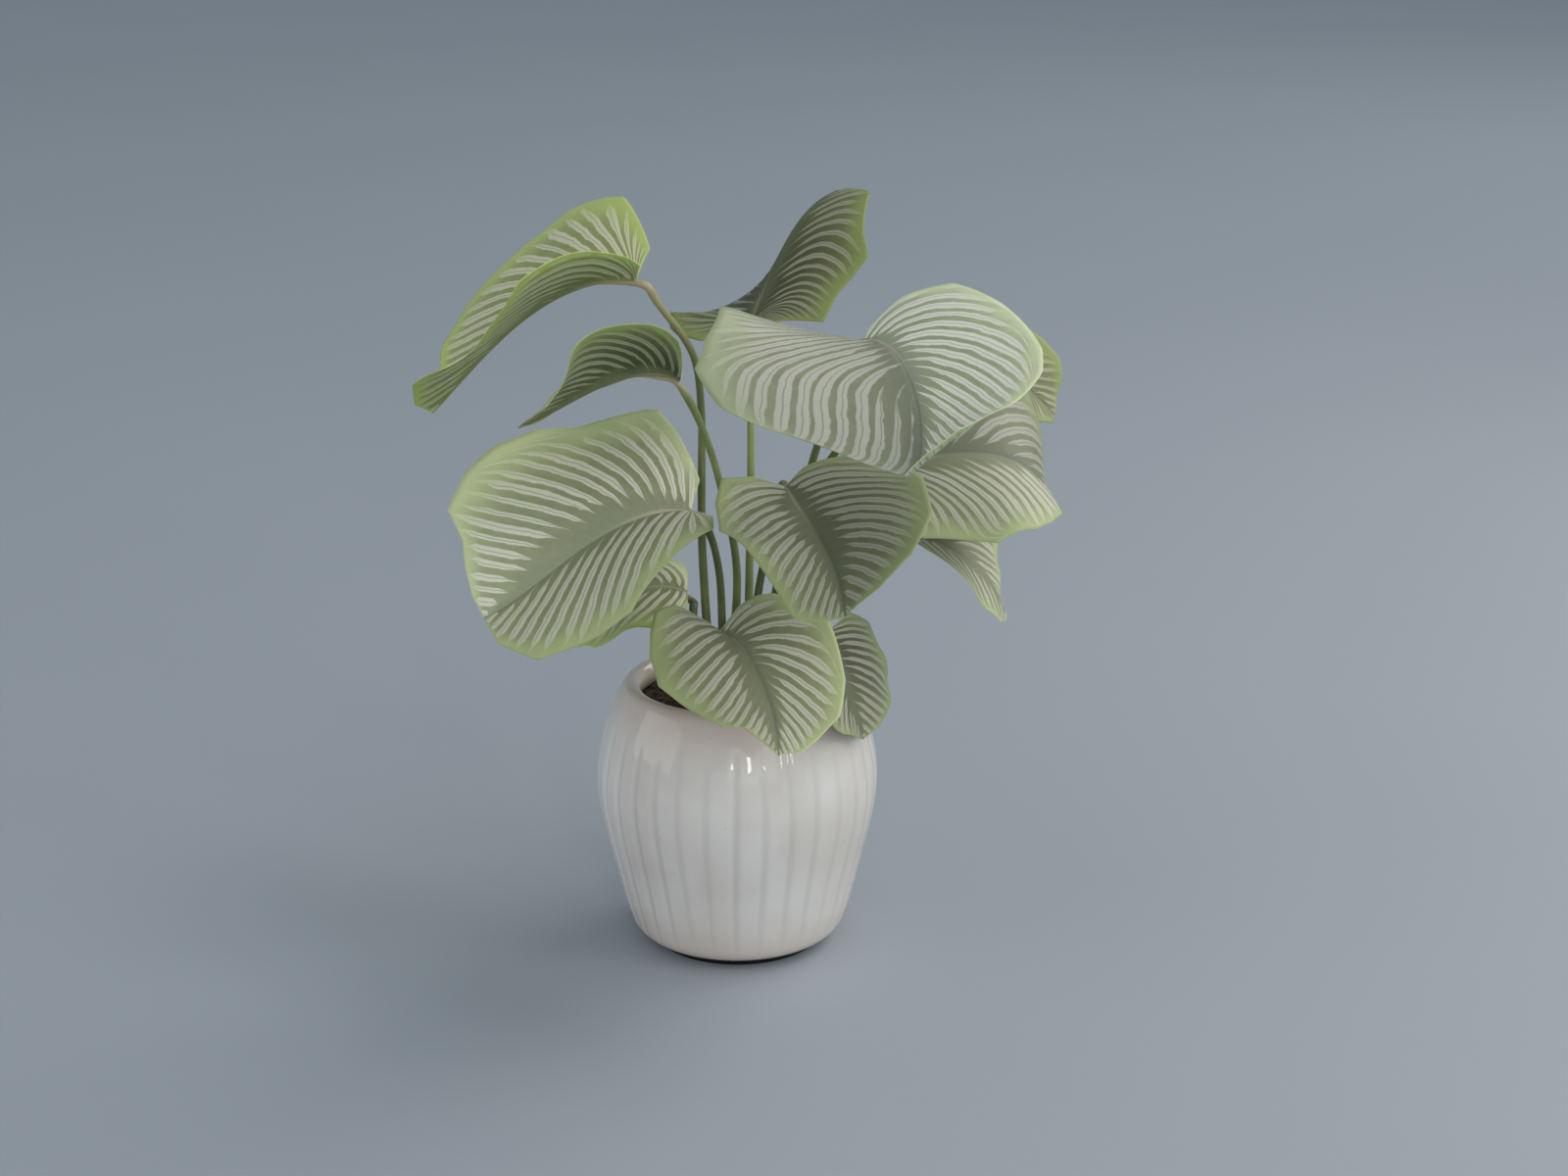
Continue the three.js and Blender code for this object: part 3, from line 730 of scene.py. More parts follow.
# %% Middle leaves
LEAVES |= {
    "right": {
        "base": (112, 20, 372), "length": 160, "heading": 1, "turn": 24,
        "pitch": (21, -8, -73), "roll": (23, 10),
        "left": {"width": 106, "lobe": 0.1, "fold": (24, 24, 12), "curl": -6,
            "margin": [(4, 72), (60, 105), (123, 95), (145, 61), (152, 21)],
            "veins": (14, 0.15, 0.95, 0.25, 3), "look": (0.69, 0.85, 0.4), "stroke": (0.27, 0.04, 0.3)},
        "right": {"width": 92, "lobe": 0.14, "fold": (2, -1, -1), "curl": 27,
            "margin": [(-10, 39), (12, 77), (74, 95), (117, 79), (136, 64), (154, 35)],
            "veins": (14, 0.6, 0.35, -0.25, 3), "look": (0.98, 0.93, 0.4), "stroke": (0.27, 0.06, 0.25)},
        "stem": 0.75,
        "foot": (32, 14), "pale": 20,
        "through": [(48, 16, 280), (80, 18, 345)],
    },
    "centre": {
        "base": (38, -48, 380), "length": 205, "heading": 291, "turn": -19,
        "pitch": (-21, -6, -20), "roll": (16, 18),
        "left": {"width": 86, "lobe": 0.09, "fold": (23, 28, 27), "curl": 30,
            "margin": [(-7, 19), (-4, 32), (9, 62), (56, 83), (89, 86), (140, 79), (171, 65),
                (183, 57), (198, 29)],
            "veins": (16, -0.1, 0.95, 0.45, 3), "look": (0.71, 0.98, 0.7), "stroke": (0.25, 0.07, 0.32)},
        "right": {"width": 69, "lobe": 0.24, "fold": (2, 20, 3), "curl": -6,
            "margin": [(-20, 19), (-25, 42), (-1, 55), (67, 71), (179, 41), (199, 35), (205, 19)],
            "veins": (17, -0.4, 2.1, 0.45, 3), "look": (0.85, 0.98, 0.6), "stroke": (0.25, 0.08, 0.3)},
        "stem": 0.6,
        "foot": (10, -12), "pale": 16,
        "through": [(17, -6, 285), (30, -26, 350)],
    },
    "left": {
        "base": (-33, -20, 353), "length": 180, "heading": 197, "turn": -9,
        "pitch": (10, -33, -27), "roll": (-3, -31),
        "left": {"width": 102, "lobe": 0.09, "fold": (13, 9, 10), "curl": 19,
            "margin": [(-11, 18), (2, 67), (83, 104), (112, 93), (158, 71), (177, 32)],
            "veins": (13, 0.25, 1.1, 0.1, 3), "look": (1.1, 1.0, 0.6), "stroke": (0.25, 0.0, 0.26)},
        "right": {"width": 133, "lobe": 0.12, "fold": (28, 17, 39), "curl": 5,
            "margin": [(-10, 36), (-2, 83), (6, 116), (30, 117), (49, 120), (72, 135), (99, 132),
                (131, 116), (160, 89), (163, 60), (174, 40), (180, 20)],
            "veins": (20, -0.25, 1.4, 0.3, 3), "look": (1.45, 0.84, 0.45), "stroke": (0.25, 0.13, 0.36)},
        "stem": 0.62,
        "foot": (-12, -6), "pale": 24,
        "through": [(-11, -12, 266), (-13, -15, 305), (-19, -16, 332)],
    },
}
print("with those in the middle:", len(LEAVES))

# %% [markdown]
# Three hang low round the pot's rim: at the left, in front and on the right. The front one reaches
# well out over it.

# %% Lower leaves
LEAVES |= {
    "lower_left": {
        "base": (-39, 34, 272), "length": 106, "heading": 178, "turn": -1,
        "pitch": (27, -29, -54), "roll": (-1, -4),
        "left": {"width": 70, "lobe": 0.1, "fold": (-7, -2, 2), "curl": 12,
            "margin": [(-3, 18), (3, 47), (23, 65), (57, 67), (81, 60), (101, 29)],
            "veins": (12, -0.1, 1.3, 0.3, 3), "look": (1.4, 1.25, 0.7), "stroke": (0.22, 0.06, 0.26)},
        "right": {"width": 66, "lobe": 0.1, "fold": (5, 6, 8), "curl": 9,
            "margin": [(4, 39), (11, 58), (54, 66), (92, 44)],
            "veins": (12, -0.1, 1.3, 0.3, 3), "look": (1.4, 1.25, 0.7), "stroke": (0.22, 0.06, 0.26)},
        "stem": 0.8,
        "foot": (-34, 4), "pale": 14,
        "through": [(-34, 8, 236), (-34, 20, 262)],
    },
    "front": {
        "base": (-13, -39, 263), "length": 188, "heading": 298, "turn": -27,
        "pitch": (9, -15, -8), "roll": (-6, -7),
        "left": {"width": 62, "lobe": 0.17, "fold": (33, 26, 16), "curl": -8,
            "margin": [(-16, 31), (-9, 44), (7, 52), (34, 56), (69, 63), (123, 58), (160, 46),
                (188, 16)],
            "veins": (17, -0.45, 2.3, 0.35, 3), "look": (1.37, 0.9, 0.6), "stroke": (0.26, 0.04, 0.32)},
        "right": {"width": 88, "lobe": 0.03, "fold": (39, 21, 25), "curl": 26,
            "margin": [(0, 32), (8, 46), (32, 73), (54, 81), (81, 86), (123, 85), (180, 44), (169, 26)],
            "veins": (17, 0.1, 2.05, 0.2, 3), "look": (0.89, 1.0, 0.65), "stroke": (0.26, 0.1, 0.32)},
        "stem": 0.7,
        "foot": (-4, -26), "pale": 14,
        "through": [(-7, -28, 236), (-9, -32, 250)],
    },
    "lower_right": {
        "base": (65, -36, 258), "length": 84, "heading": 325, "turn": -1,
        "pitch": (-46, -66, -64), "roll": (2, -1),
        "left": {"width": 69, "lobe": 0.18, "fold": (14, 11, 8), "curl": 35,
            "margin": [(-8, 42), (4, 64), (25, 59), (45, 68), (65, 59), (81, 24)],
            "veins": (13, -0.1, 1.3, 0.3, 3), "look": (0.77, 0.97, 0.95), "stroke": (0.23, 0.06, 0.25)},
        "right": {"width": 59, "lobe": 0.12, "fold": (13, 18, 23), "curl": 8,
            "margin": [(1, 40), (31, 59), (62, 47), (72, 37)],
            "veins": (13, -0.1, 1.3, 0.3, 3), "look": (0.77, 0.97, 0.95), "stroke": (0.23, 0.06, 0.25)},
        "stem": 0.8,
        "foot": (32, -14), "pale": 12,
        "through": [(42, -20, 232), (53, -28, 258)],
    },
}
print("with the lower ones:", len(LEAVES))

# %% [markdown]
# The last two are mostly hidden behind the others, low on the right and far out at the back right.
# They close the gaps between the leaves in front of them.

# %% Leaves behind, on the right
LEAVES |= {
    "right_low": {
        "base": (126, 66, 308), "length": 119, "heading": 335, "turn": 11,
        "pitch": (10, -33, -73), "roll": (-16, -17),
        "left": {"width": 66, "lobe": 0.12, "fold": (41, 21, 1), "curl": -3,
            "margin": [(-3, 38), (30, 63), (70, 68), (94, 31)],
            "veins": (12, -0.1, 1.3, 0.3, 3), "look": (1.1, 0.9, 0.5), "stroke": (0.23, 0.06, 0.25)},
        "right": {"width": 59, "lobe": 0.12, "fold": (1, -11, -23), "curl": -11,
            "margin": [(0, 39), (44, 50), (68, 64), (94, 42), (114, 23)],
            "veins": (12, -0.1, 1.3, 0.3, 3), "look": (1.1, 0.9, 0.5), "stroke": (0.23, 0.06, 0.25)},
        "stem": 0.85,
        "foot": (38, 28), "pale": 16,
        "through": [(60, 36, 250), (98, 54, 294)],
    },
    "far_right": {
        "base": (185, 166, 419), "length": 90, "heading": 13, "turn": -8,
        "pitch": (17, -34, -45), "roll": (9, 18),
        "left": {"width": 57, "lobe": 0.11, "fold": (17, 18, 18), "curl": -19,
            "margin": [(-1, 34), (25, 55), (57, 59), (69, 55), (80, 35), (87, 11)],
            "veins": (12, -0.1, 1.3, 0.3, 3), "look": (0.7, 1.25, 0.8), "stroke": (0.18, 0.06, 0.3)},
        "right": {"width": 57, "lobe": 0.12, "fold": (18, 14, 9), "curl": 29,
            "margin": [(1, 39), (35, 57), (69, 44), (85, 26)],
            "veins": (12, -0.1, 1.3, 0.3, 3), "look": (0.7, 1.25, 0.8), "stroke": (0.18, 0.06, 0.3)},
        "stem": 0.8,
        "foot": (22, 34), "pale": 20,
        "through": [(38, 54, 300), (80, 96, 372), (142, 144, 408)],
    },
}
print("all leaves:", len(LEAVES))

# %% [markdown]
# ## A leaf blade as a surface
#
# A blade is a function of two shares. One runs across, from 1 at the left margin through 0 at the
# midrib to -1 at the right margin. The other runs along, from 0 at the stalk to 1 at the tip. The
# midrib is drawn first, as a line whose slope and heading change smoothly.

# %% Midrib
BEHIND_BASE = 0.15
MIDRIB_TABLE = np.linspace(-0.4, 1.0, 281)


def along_curve(three, t):
    """start (1 - t)(1 - 2t) + middle 4t(1 - t) + end t(2t - 1), through three values."""
    start, middle, end = three
    return start * (1 - t) * (1 - 2 * t) + middle * 4 * t * (1 - t) + end * t * (2 * t - 1)


def midrib_at(leaf, share):
    """Place, left and up directions at each share of the midrib's length.

    Forward is (cos pitch cos heading, cos pitch sin heading, sin pitch). Left is level and then
    rolled about forward, up is square to both, and the place is the sum of the forward steps.
    """
    table = MIDRIB_TABLE
    onward = np.clip(table, 0, 1)
    pitch = np.radians(along_curve(leaf["pitch"], np.clip(table, -BEHIND_BASE, 1)))
    heading = np.radians(leaf["heading"] + leaf["turn"] * onward)
    roll = np.radians(np.interp(onward, [0, 1], leaf["roll"]))[:, None]
    forward = np.stack([
        np.cos(pitch) * np.cos(heading), np.cos(pitch) * np.sin(heading), np.sin(pitch),
    ], -1)
    level = np.stack([-np.sin(heading), np.cos(heading), 0 * heading], -1)
    raised = np.cross(forward, level)
    left = level * np.cos(roll) + raised * np.sin(roll)
    up = raised * np.cos(roll) - level * np.sin(roll)
    steps = (forward[1:] + forward[:-1]) / 2 * np.diff(table)[:, None] * leaf["length"]
    place = np.concatenate([np.zeros((1, 3)), np.cumsum(steps, 0)])
    place += leaf["base"] - place[np.argmin(np.abs(table))]

    def look_up(values):
        """Each coordinate read from the table, straight between its entries."""
        return np.stack([np.interp(share, table, values[:, k]) for k in range(3)], -1)

    return look_up(place), look_up(left), look_up(up)


front_tip = midrib_at(LEAVES["front"], np.array([1.0]))[0][0]
print("tip of the front leaf in mm:", front_tip.round().tolist())

# %% [markdown]
# The margin of a real blade isn't an ellipse: it has shoulders, a lobe on either side of the stalk
# and a blunt or drawn-out tip. So each half's margin is a short list of corners. To lay rows of the
# surface from base to tip, each corner is given a turn, the angle at which it is seen.

# %% Margin
def by_side(leaf, across, name):
    """A value of the left half where across is positive and of the right half elsewhere."""
    left, right = np.asarray(leaf["left"][name]), np.asarray(leaf["right"][name])
    if left.ndim:
        across = across[..., None]
    return np.where(across > 0, left, right)


def margin_at(leaf, half, turn):
    """Out and along at each turn, on straight lines from corner to corner of a half's margin.

    A corner's own turn is its angle seen from the middle of the outline:
    atan2(out / width, (middle - along) / reach). It is 0 at the base and pi at the tip.
    """
    length = leaf["length"]
    middle, reach = length * (1 - half["lobe"]) / 2, length * (1 + half["lobe"]) / 2
    along, out = np.array([(0, 0), *half["margin"], (length, 0)]).T
    seen = np.arctan2(out / half["width"], (middle - along) / reach)
    return np.interp(turn, seen, out), np.interp(turn, seen, along)


corner_count = sum(len(leaf[half]["margin"]) for leaf in LEAVES.values() for half in ("left", "right"))
print("margin corners in all:", corner_count)

# %% [markdown]
# Each half leaves the midrib like a bent sheet, in the direction that its fold gives, and curls
# back in an arc. The margin waves a little up and down. Laying the half out flat first keeps its
# true width however much it is folded, and the flat distances serve the veins as well.

# %% Bent sheet
ROW_SWEEP = 0.72
ROW_CURVE = 1.4
MARGIN_WAVE = 2
WAVES_ALONG = 3


def blade_sheet(leaf, across, along):
    """The bent middle surface, and the flat distances out from the midrib and along it.

    Flat: a row ends at the margin's turn pi along^sweep, and a point lies at its share far of the
    way out. Its way along changes from the midrib's to the margin's with far^curve. Bent: the half
    leaves the midrib at its fold angle and loses its curl evenly on the way, which makes an arc.
    """
    length = leaf["length"]
    far = np.abs(across)
    width = by_side(leaf, across, "width")
    curl = np.radians(by_side(leaf, across, "curl"))
    turn = np.pi * along ** ROW_SWEEP
    left_out, left_along = margin_at(leaf, leaf["left"], turn)
    right_out, right_along = margin_at(leaf, leaf["right"], turn)
    flat_out = np.where(across > 0, left_out, right_out) * far
    margin_along = np.where(across > 0, left_along, right_along)
    flat_along = along * length * (1 - far ** ROW_CURVE) + margin_along * far ** ROW_CURVE
    share = flat_along / length
    place, left, up = midrib_at(leaf, share)
    inside = np.clip(share, 0, 1)
    left_fold = along_curve(leaf["left"]["fold"], inside)
    right_fold = along_curve(leaf["right"]["fold"], inside)
    fold = np.radians(np.where(across > 0, left_fold, right_fold))
    turned = fold - curl * flat_out / width
    side = np.where(across > 0, 1, -1)
    out = width / curl * (np.sin(fold) - np.sin(turned)) * side
    ripple = np.sin(2 * np.pi * WAVES_ALONG * along + side) * np.sin(np.pi * along)
    rise = width / curl * (np.cos(turned) - np.cos(fold)) + MARGIN_WAVE * far ** 2 * ripple
    sheet = place + left * out[..., None] + up * rise[..., None]
    return sheet, flat_out, flat_along


highest = blade_sheet(LEAVES["top"], -np.ones(50), np.linspace(0, 1, 50))[0][:, 2].max()
print("highest point of the top leaf in mm:", round(float(highest)))

# %% [markdown]
# The side veins matter as much as the outline. They leave the midrib at an angle and bend, on most
# leaves toward the tip, and at the base they spread like a fan into the two lobes. The sheet's own
# rows follow the outline instead, so a second value, the vein number, is worked out for every
# point. It is used twice: for the soft corrugation of the sheet and for the silver strokes.
#
# The five numbers under veins say how many there are, how far a vein leans forward, how much more
# the later ones lean, how much they bend, and where on the midrib the last one starts.

# %% Side veins
LAST_VEIN_SHARPNESS = 20.0
FAN_REACH = 0.6
FAN_CORE = 0.01
CROWDING = 2.2
MARGIN_RUSH = 0.67


def vein_numbers(leaf, across, out, along):
    """How many side veins lie between the base and each point, from its flat distances.

    A vein that starts a share of the way along has its points at start + (lean + gain start) out
    + bend out². Turned round, that gives the start of the vein through any point. Behind the
    first vein the lines fan out from the base. The last vein runs forward to the tip, and those
    beyond it do the same: the lower of the two starts holds, with a soft change between them. The
    number is count log(1 + crowding start) / log(1 + crowding), closer together at the base.
    """
    count, lean, gain, bend, last = np.moveaxis(by_side(leaf, across, "veins"), -1, 0)
    out = out / by_side(leaf, across, "width")
    along = along / leaf["length"]
    start = (along - lean * out - bend * out ** 2) / (1 + gain * out)
    from_base = np.sqrt(out ** 2 + along ** 2) + FAN_CORE
    start = np.where(start < 0, start * FAN_REACH / from_base, start)
    forward = last * (1 - out ** MARGIN_RUSH)
    lower = np.exp(-LAST_VEIN_SHARPNESS * start) + np.exp(-LAST_VEIN_SHARPNESS * forward)
    start = -np.log(lower) / LAST_VEIN_SHARPNESS
    crowded = np.where(start < 0, CROWDING * start, np.log1p(CROWDING * np.maximum(start, 0)))
    return crowded / np.log1p(CROWDING) * count


vein_count = sum(leaf[half]["veins"][0] for leaf in LEAVES.values() for half in ("left", "right"))
print("side veins in all:", vein_count)

# %% [markdown]
# The blade is worked out on a grid of the two shares. Its rows lie closer at the base and the tip,
# and its columns closer at the midrib, where the shape changes fastest.
#
# The sheet gets a thickness by moving it up and down along its own normal. The upper side has a
# hollow line over the midrib, the underside a raised rib, and both follow the corrugation.

# %% Two sides of a blade
BLADE_ROWS = 132
BLADE_COLUMNS = 61
COLUMN_CROWDING = 1.3
CORRUGATION = 0.45
FLAT_AT_MIDRIB = 0.15
FLAT_AT_MARGIN = 0.25
HOLLOW_DEPTH = 0.6
HOLLOW_WIDTH = 1.8
RIB_HEIGHT = 2.2
RIB_WIDTH = 2.6
RIB_TAPER = 0.8
THICK_MIDDLE = 1.0
THICK_MARGIN = 0.35


def blade_grid():
    """The shares along and across.

    Rows are halfway between even ones and (1 - cos(pi row)) / 2. Columns are even ones, from 1 to
    -1, raised to the power of their crowding with their sign kept.
    """
    rows = np.arange(BLADE_ROWS + 1) / BLADE_ROWS
    rows = (rows + 0.5 - 0.5 * np.cos(np.pi * rows)) / 2
    columns = np.linspace(1, -1, BLADE_COLUMNS)
    columns = np.sign(columns) * np.abs(columns) ** COLUMN_CROWDING
    return np.meshgrid(rows, columns, indexing="ij")


def blade_faces(sheet, flat_out, along, far, vein):
    """Upper and under surface: the sheet plus or minus half its thickness along the normal.

    Both add the corrugation, sin² of pi times the vein number, which is left out near midrib and
    margin. The hollow and the rib fall off as exp(-(distance / width)²).
    """
    normal = np.cross(np.gradient(sheet, axis=1), np.gradient(sheet, axis=0))
    normal[0], normal[-1] = normal[1], normal[-2]
    normal /= np.linalg.norm(normal, axis=-1, keepdims=True)
    open_part = np.clip(far / FLAT_AT_MIDRIB, 0, 1) * np.clip((1 - far) / FLAT_AT_MARGIN, 0, 1)
    relief = CORRUGATION * (np.sin(np.pi * vein) ** 2 - 0.5) * open_part
    hollow = HOLLOW_DEPTH * np.exp(-(flat_out / HOLLOW_WIDTH) ** 2)
    rib = RIB_HEIGHT * (1 - along) ** RIB_TAPER * np.exp(-(flat_out / RIB_WIDTH) ** 2)
    half = (THICK_MIDDLE + (THICK_MARGIN - THICK_MIDDLE) * far ** 2) / 2
    upper = sheet + normal * (half + relief - hollow)[..., None]
    under = sheet + normal * (relief - half - rib)[..., None]
    return upper, under


print("points on each side of a blade:", blade_grid()[0].size)

# %% [markdown]
# One ring runs across the upper side and back along the underside, so the two sides close to a
# shell at the margins, and the end points close it at base and tip.
#
# The points also carry what the material needs: the share out to the margin, the vein number and
# the share along, then the half's look and its stroke. Each half starts from a vein number of its
# own, so that no two halves get the same random strokes.

# %% Blade shell
HALF_APART = 60


def round_ring(upper, under):
    """One ring a row, across the upper side and back below, without the first and last row."""
    return np.concatenate([upper, under[:, ::-1]], 1)[1:-1]


def blade_shell(leaf, first_vein):
    """A blade's rings, its end points and the attributes for its material."""
    along, across = blade_grid()
    far = np.abs(across)
    sheet, flat_out, flat_along = blade_sheet(leaf, across, along)
    vein = vein_numbers(leaf, across, flat_out, flat_along)
    upper, under = blade_faces(sheet, flat_out, along, far, vein)
    layers = {
        "veins": np.stack([far, vein + first_vein + HALF_APART * (across > 0), along], -1),
        "look": by_side(leaf, across, "look"),
        "stroke": by_side(leaf, across, "stroke"),
    }
    attributes = {label: round_ring(layer, layer) for label, layer in layers.items()}
    return round_ring(upper, under), [sheet[0].mean(0), sheet[-1].mean(0)], attributes


print("rings and points of a blade:", blade_shell(LEAVES["front"], 0)[0].shape[:2])

# %% [markdown]
# ## The silver stripes
#
# The colouring follows the vein number. Beside each side vein lie two silver strokes, with a thin
# dark line between them, and a green band parts them from the next pair. So the distance from the
# vein, which is the fraction of the vein number, decides between silver and green. Noise is added
# first, so the edges are ragged. The pattern is a node group, because the upper side and the
# underside both use it, each with its own colours.

# %% Shared effect: silver stripes
RAGGED_SIDEWAYS = 1.8

wires, given, out = new_group(
    "silver_stripes",
    {"Line": 0.13, "Raggedness": 0.22},
    {"Silver": "Float", "Vein line": "Float", "Margin": "Float", "Midrib": "Float"},
)
far, vein, along = wires.split(wires.attribute("veins")["Vector"])
half_width, bare, hem = wires.split(wires.attribute("stroke")["Vector"])
drift = wires.maths("SUBTRACT", wires.cloud(65.0, 4.0), 0.5)
ragged = wires.maths("MULTIPLY", drift, given["Raggedness"])
ragged_far = wires.maths("ADD", far, ragged)
number = wires.maths("MULTIPLY_ADD", ragged, RAGGED_SIDEWAYS, vein)
phase = wires.maths("SUBTRACT", wires.maths("FRACT", number), 0.5)
distance = wires.maths("MULTIPLY", wires.maths("ABSOLUTE", phase), 2.0)
stroke = wires.maths("FLOOR", wires.maths("MULTIPLY", number, 2.0))
print("stripe nodes for the place:", len(wires.tree.nodes))

# %% [markdown]
# Each stroke is painted like one drawn with a brush. It opens to its width near the midrib and ends
# in a point before the margin. Random numbers that belong to the stroke shift its start and its end
# and change its width, so that no two are alike. The three values under stroke give its half-width,
# the bare strip beside the midrib and the width of the plain green hem along the margin.

# %% Silver strokes
START_SPREAD = 0.15
END_SPREAD = 0.12
RAGGED_START = 0.8
OPENS = (-0.05, 0.15)
CLOSES = (1.19, 1.0)
WIDTH_LEAST = 0.75
WIDTH_SPREAD = 0.7
SOFT_EDGE = (-0.06, 0.1)

own = wires.dice(stroke)
other = wires.dice(wires.maths("MULTIPLY", stroke, 3.7))
begin = wires.maths("MULTIPLY_ADD", ragged, RAGGED_START, bare)
begin = wires.maths("MULTIPLY_ADD", own, START_SPREAD, begin)
opening = wires.fade(wires.maths("SUBTRACT", far, begin), *OPENS)
finish = wires.maths("MULTIPLY_ADD", own, END_SPREAD, ragged_far)
finish = wires.maths("MULTIPLY_ADD", hem, 0.5, finish)
ending = wires.fade(finish, *CLOSES)
width = wires.maths("MULTIPLY_ADD", other, WIDTH_SPREAD, WIDTH_LEAST)
width = wires.maths("MULTIPLY", half_width, width)
reach_out = wires.maths("MULTIPLY", wires.maths("MULTIPLY", opening, ending), width)
reach_out = wires.maths("MULTIPLY_ADD", reach_out, 2.0, wires.maths("MULTIPLY", ragged, -0.5))
silver = wires.fade(wires.maths("SUBTRACT", reach_out, distance), *SOFT_EDGE)
wires.give(out["Silver"], silver)
print("stripe nodes with the strokes:", len(wires.tree.nodes))

# %% [markdown]
# Three plain bands are left: the dark line on each vein, which starts beside the midrib and ends
# before the margin, the green hem, and the darker band along the midrib.

# %% Vein line, hem and midrib band
LINE_CORE = 0.02
LINE_STARTS = (0.03, 0.12)
LINE_ENDS = (0.95, 0.75)
HEM_FULL = 0.98
MIDRIB_BAND = (0.2, 0.03)

reach = wires.maths("MULTIPLY", wires.fade(far, *LINE_STARTS), wires.fade(far, *LINE_ENDS))
line = wires.maths("MULTIPLY", wires.fade(distance, given["Line"], LINE_CORE), reach)
wires.give(out["Vein line"], line)
hem_starts = wires.maths("SUBTRACT", 1.0, hem)
wires.give(out["Margin"], wires.fade(ragged_far, hem_starts, HEM_FULL))
wires.give(out["Midrib"], wires.fade(ragged_far, *MIDRIB_BAND))
silver_stripes = wires.tree
print("stripe nodes in all:", len(silver_stripes.nodes))

# %% [markdown]
# ## The leaf materials
#
# A leaf face is painted in layers: a mottled green with painted shade over the middle of the half,
# strongest near the stalk, then the midrib's band, the silver, the vein lines, the hem and the pale
# rib, which narrows and darkens away from the stalk. Each half has a look of its own, three numbers:
# a brightness that paints the light and shade on that half, a greenness and the depth of the
# painted shade.

# %% Leaf colours
UPPER_COLOURS = {
    "green": "#a0a679", "shade": "#949873", "deep": "#686a53", "middle": "#858a6f",
    "silver": "#cccab6", "line": "#82836b", "margin": "#b7c28b", "rib": "#bdb498",
}
# The underside's colours are darker and yellower than the upper side's; the darkness is painted shade,
# as the undersides face away from the light.
UNDER_COLOURS = {
    "green": "#7d8656", "shade": "#727a4e", "deep": "#4c5238", "middle": "#727852",
    "silver": "#a0a385", "line": "#626747", "margin": "#95a75f", "rib": "#b0a882",
}
# Each layer over the green: the stripe effect's mask, the colour's name and its most.
LAYERS = [
    ("Midrib", "middle", 0.75), ("Silver", "silver", 0.93), ("Vein line", "line", 0.6),
    ("Margin", "margin", 0.8),
]
# Where the painted shade lies: over the inner part of a half, most near the stalk.
SHADE_ACROSS = (0.95, 0.35)
SHADE_ALONG = (1.0, 0.2, 0.4)
RIB_NARROWS = (0.0, 0.6, 0.05, 0.012)
RIB_PALES = (0.5, 0.05, 0.0, 0.6)


def leaf_green(wires, codes):
    """The layered colour of a leaf face, before its own look is applied."""
    colours = {name: paint(code) for name, code in codes.items()}
    stripes = wires.effect(silver_stripes)
    far, _, along = wires.split(wires.attribute("veins")["Vector"])
    depth = wires.split(wires.attribute("look")["Vector"])[2]
    cells = wires.effect(mottling, {"Scale": 90.0, "Contrast": 0.4})["Mask"]
    green = wires.blend(cells, colours["green"], colours["shade"])
    # Painted shade: darker green near the midrib and the stalk, where the leaves shade each other.
    inner = wires.maths("MULTIPLY", wires.fade(far, *SHADE_ACROSS), wires.fade(along, *SHADE_ALONG))
    green = wires.blend(inner, green, colours["deep"], depth)
    for mask, name, most in LAYERS:
        green = wires.blend(stripes[mask], green, colours[name], most)
    rib = wires.maths("DIVIDE", far, wires.fade(along, *RIB_NARROWS))
    paleness = wires.fade(along, *RIB_PALES)
    return wires.blend(wires.fade(rib, 1.0, 0.2), green, colours["rib"], paleness)


print("colours of a leaf face:", len(UPPER_COLOURS))

# %% [markdown]
# The blade is thin and full of water, so a little light spreads inside it. Subsurface scattering
# with a very short reach softens it, more in green than in red or blue. The upper side is satin and
# the underside duller.

# %% Leaf materials
def leaf_material(name, codes, roughness):
    """A striped leaf face: its colour with the half's own look, and a satin skin."""
    material, wires, shader = new_material(name)
    green = leaf_green(wires, codes)
    # A half's brightness is painted light and shade: it lightens or darkens the whole half.
    brightness, greenness, _ = wires.split(wires.attribute("look")["Vector"])
    own_look = {"Color": green, "Saturation": greenness, "Value": brightness}
    green = wires.add("ShaderNodeHueSaturation", own_look).outputs[0]
    wires.give(shader["Base Color"], green)
    shader["Roughness"].default_value = roughness
    shader["Specular IOR Level"].default_value = 0.35
    shader["Subsurface Weight"].default_value = 0.2
    shader["Subsurface Radius"].default_value = (0.8, 1.0, 0.3)
    shader["Subsurface Scale"].default_value = 0.0025
    skin = wires.effect(grain, {"Scale": 1400.0, "Depth": 0.25})
    wires.give(shader["Normal"], skin["Normal"])
    return material


upper_face = leaf_material("leaf_upper_side", UPPER_COLOURS, 0.5)
under_face = leaf_material("leaf_underside", UNDER_COLOURS, 0.6)
print("leaf materials:", upper_face.name, under_face.name)

# %% [markdown]
# Now the blades are made in one loop. A ring's first columns lie on the upper side and the rest on
# the underside, so the column that a face starts from says which material it gets.

# %% Make the blades
faces_by_column = np.zeros(2 * BLADE_COLUMNS)
faces_by_column[BLADE_COLUMNS:2 * BLADE_COLUMNS - 1] = 1
for index, (name, leaf) in enumerate(LEAVES.items()):
    rings, ends, attributes = blade_shell(leaf, 2 * HALF_APART * index)
    blade = add_shell(f"leaf_{name}", rings, ends, (upper_face, under_face), attributes,
                      faces_by_column)
    seat(blade, f"blade_{name}")

# %% [markdown]
# ## Stalks
#
# A stalk is a smooth round stem, a little thicker at the soil, where it sheathes the next one. Just
# under the blade it has a short swollen joint, paler than the rest, with which the plant turns its
# leaf to the light. It then runs out under the midrib. A tube along a smooth line makes all of it,
# with a radius that changes on the way.

# %% Stalk line
STALK_ROWS = 90
HOLE_DEPTH = 24
STRAIGHT_AT_SOIL = 8
STALK_MEETS = -8
STALK_UNDER = (8, 34)
STALK_DROPS = (4.5, 3.5, 1.6)


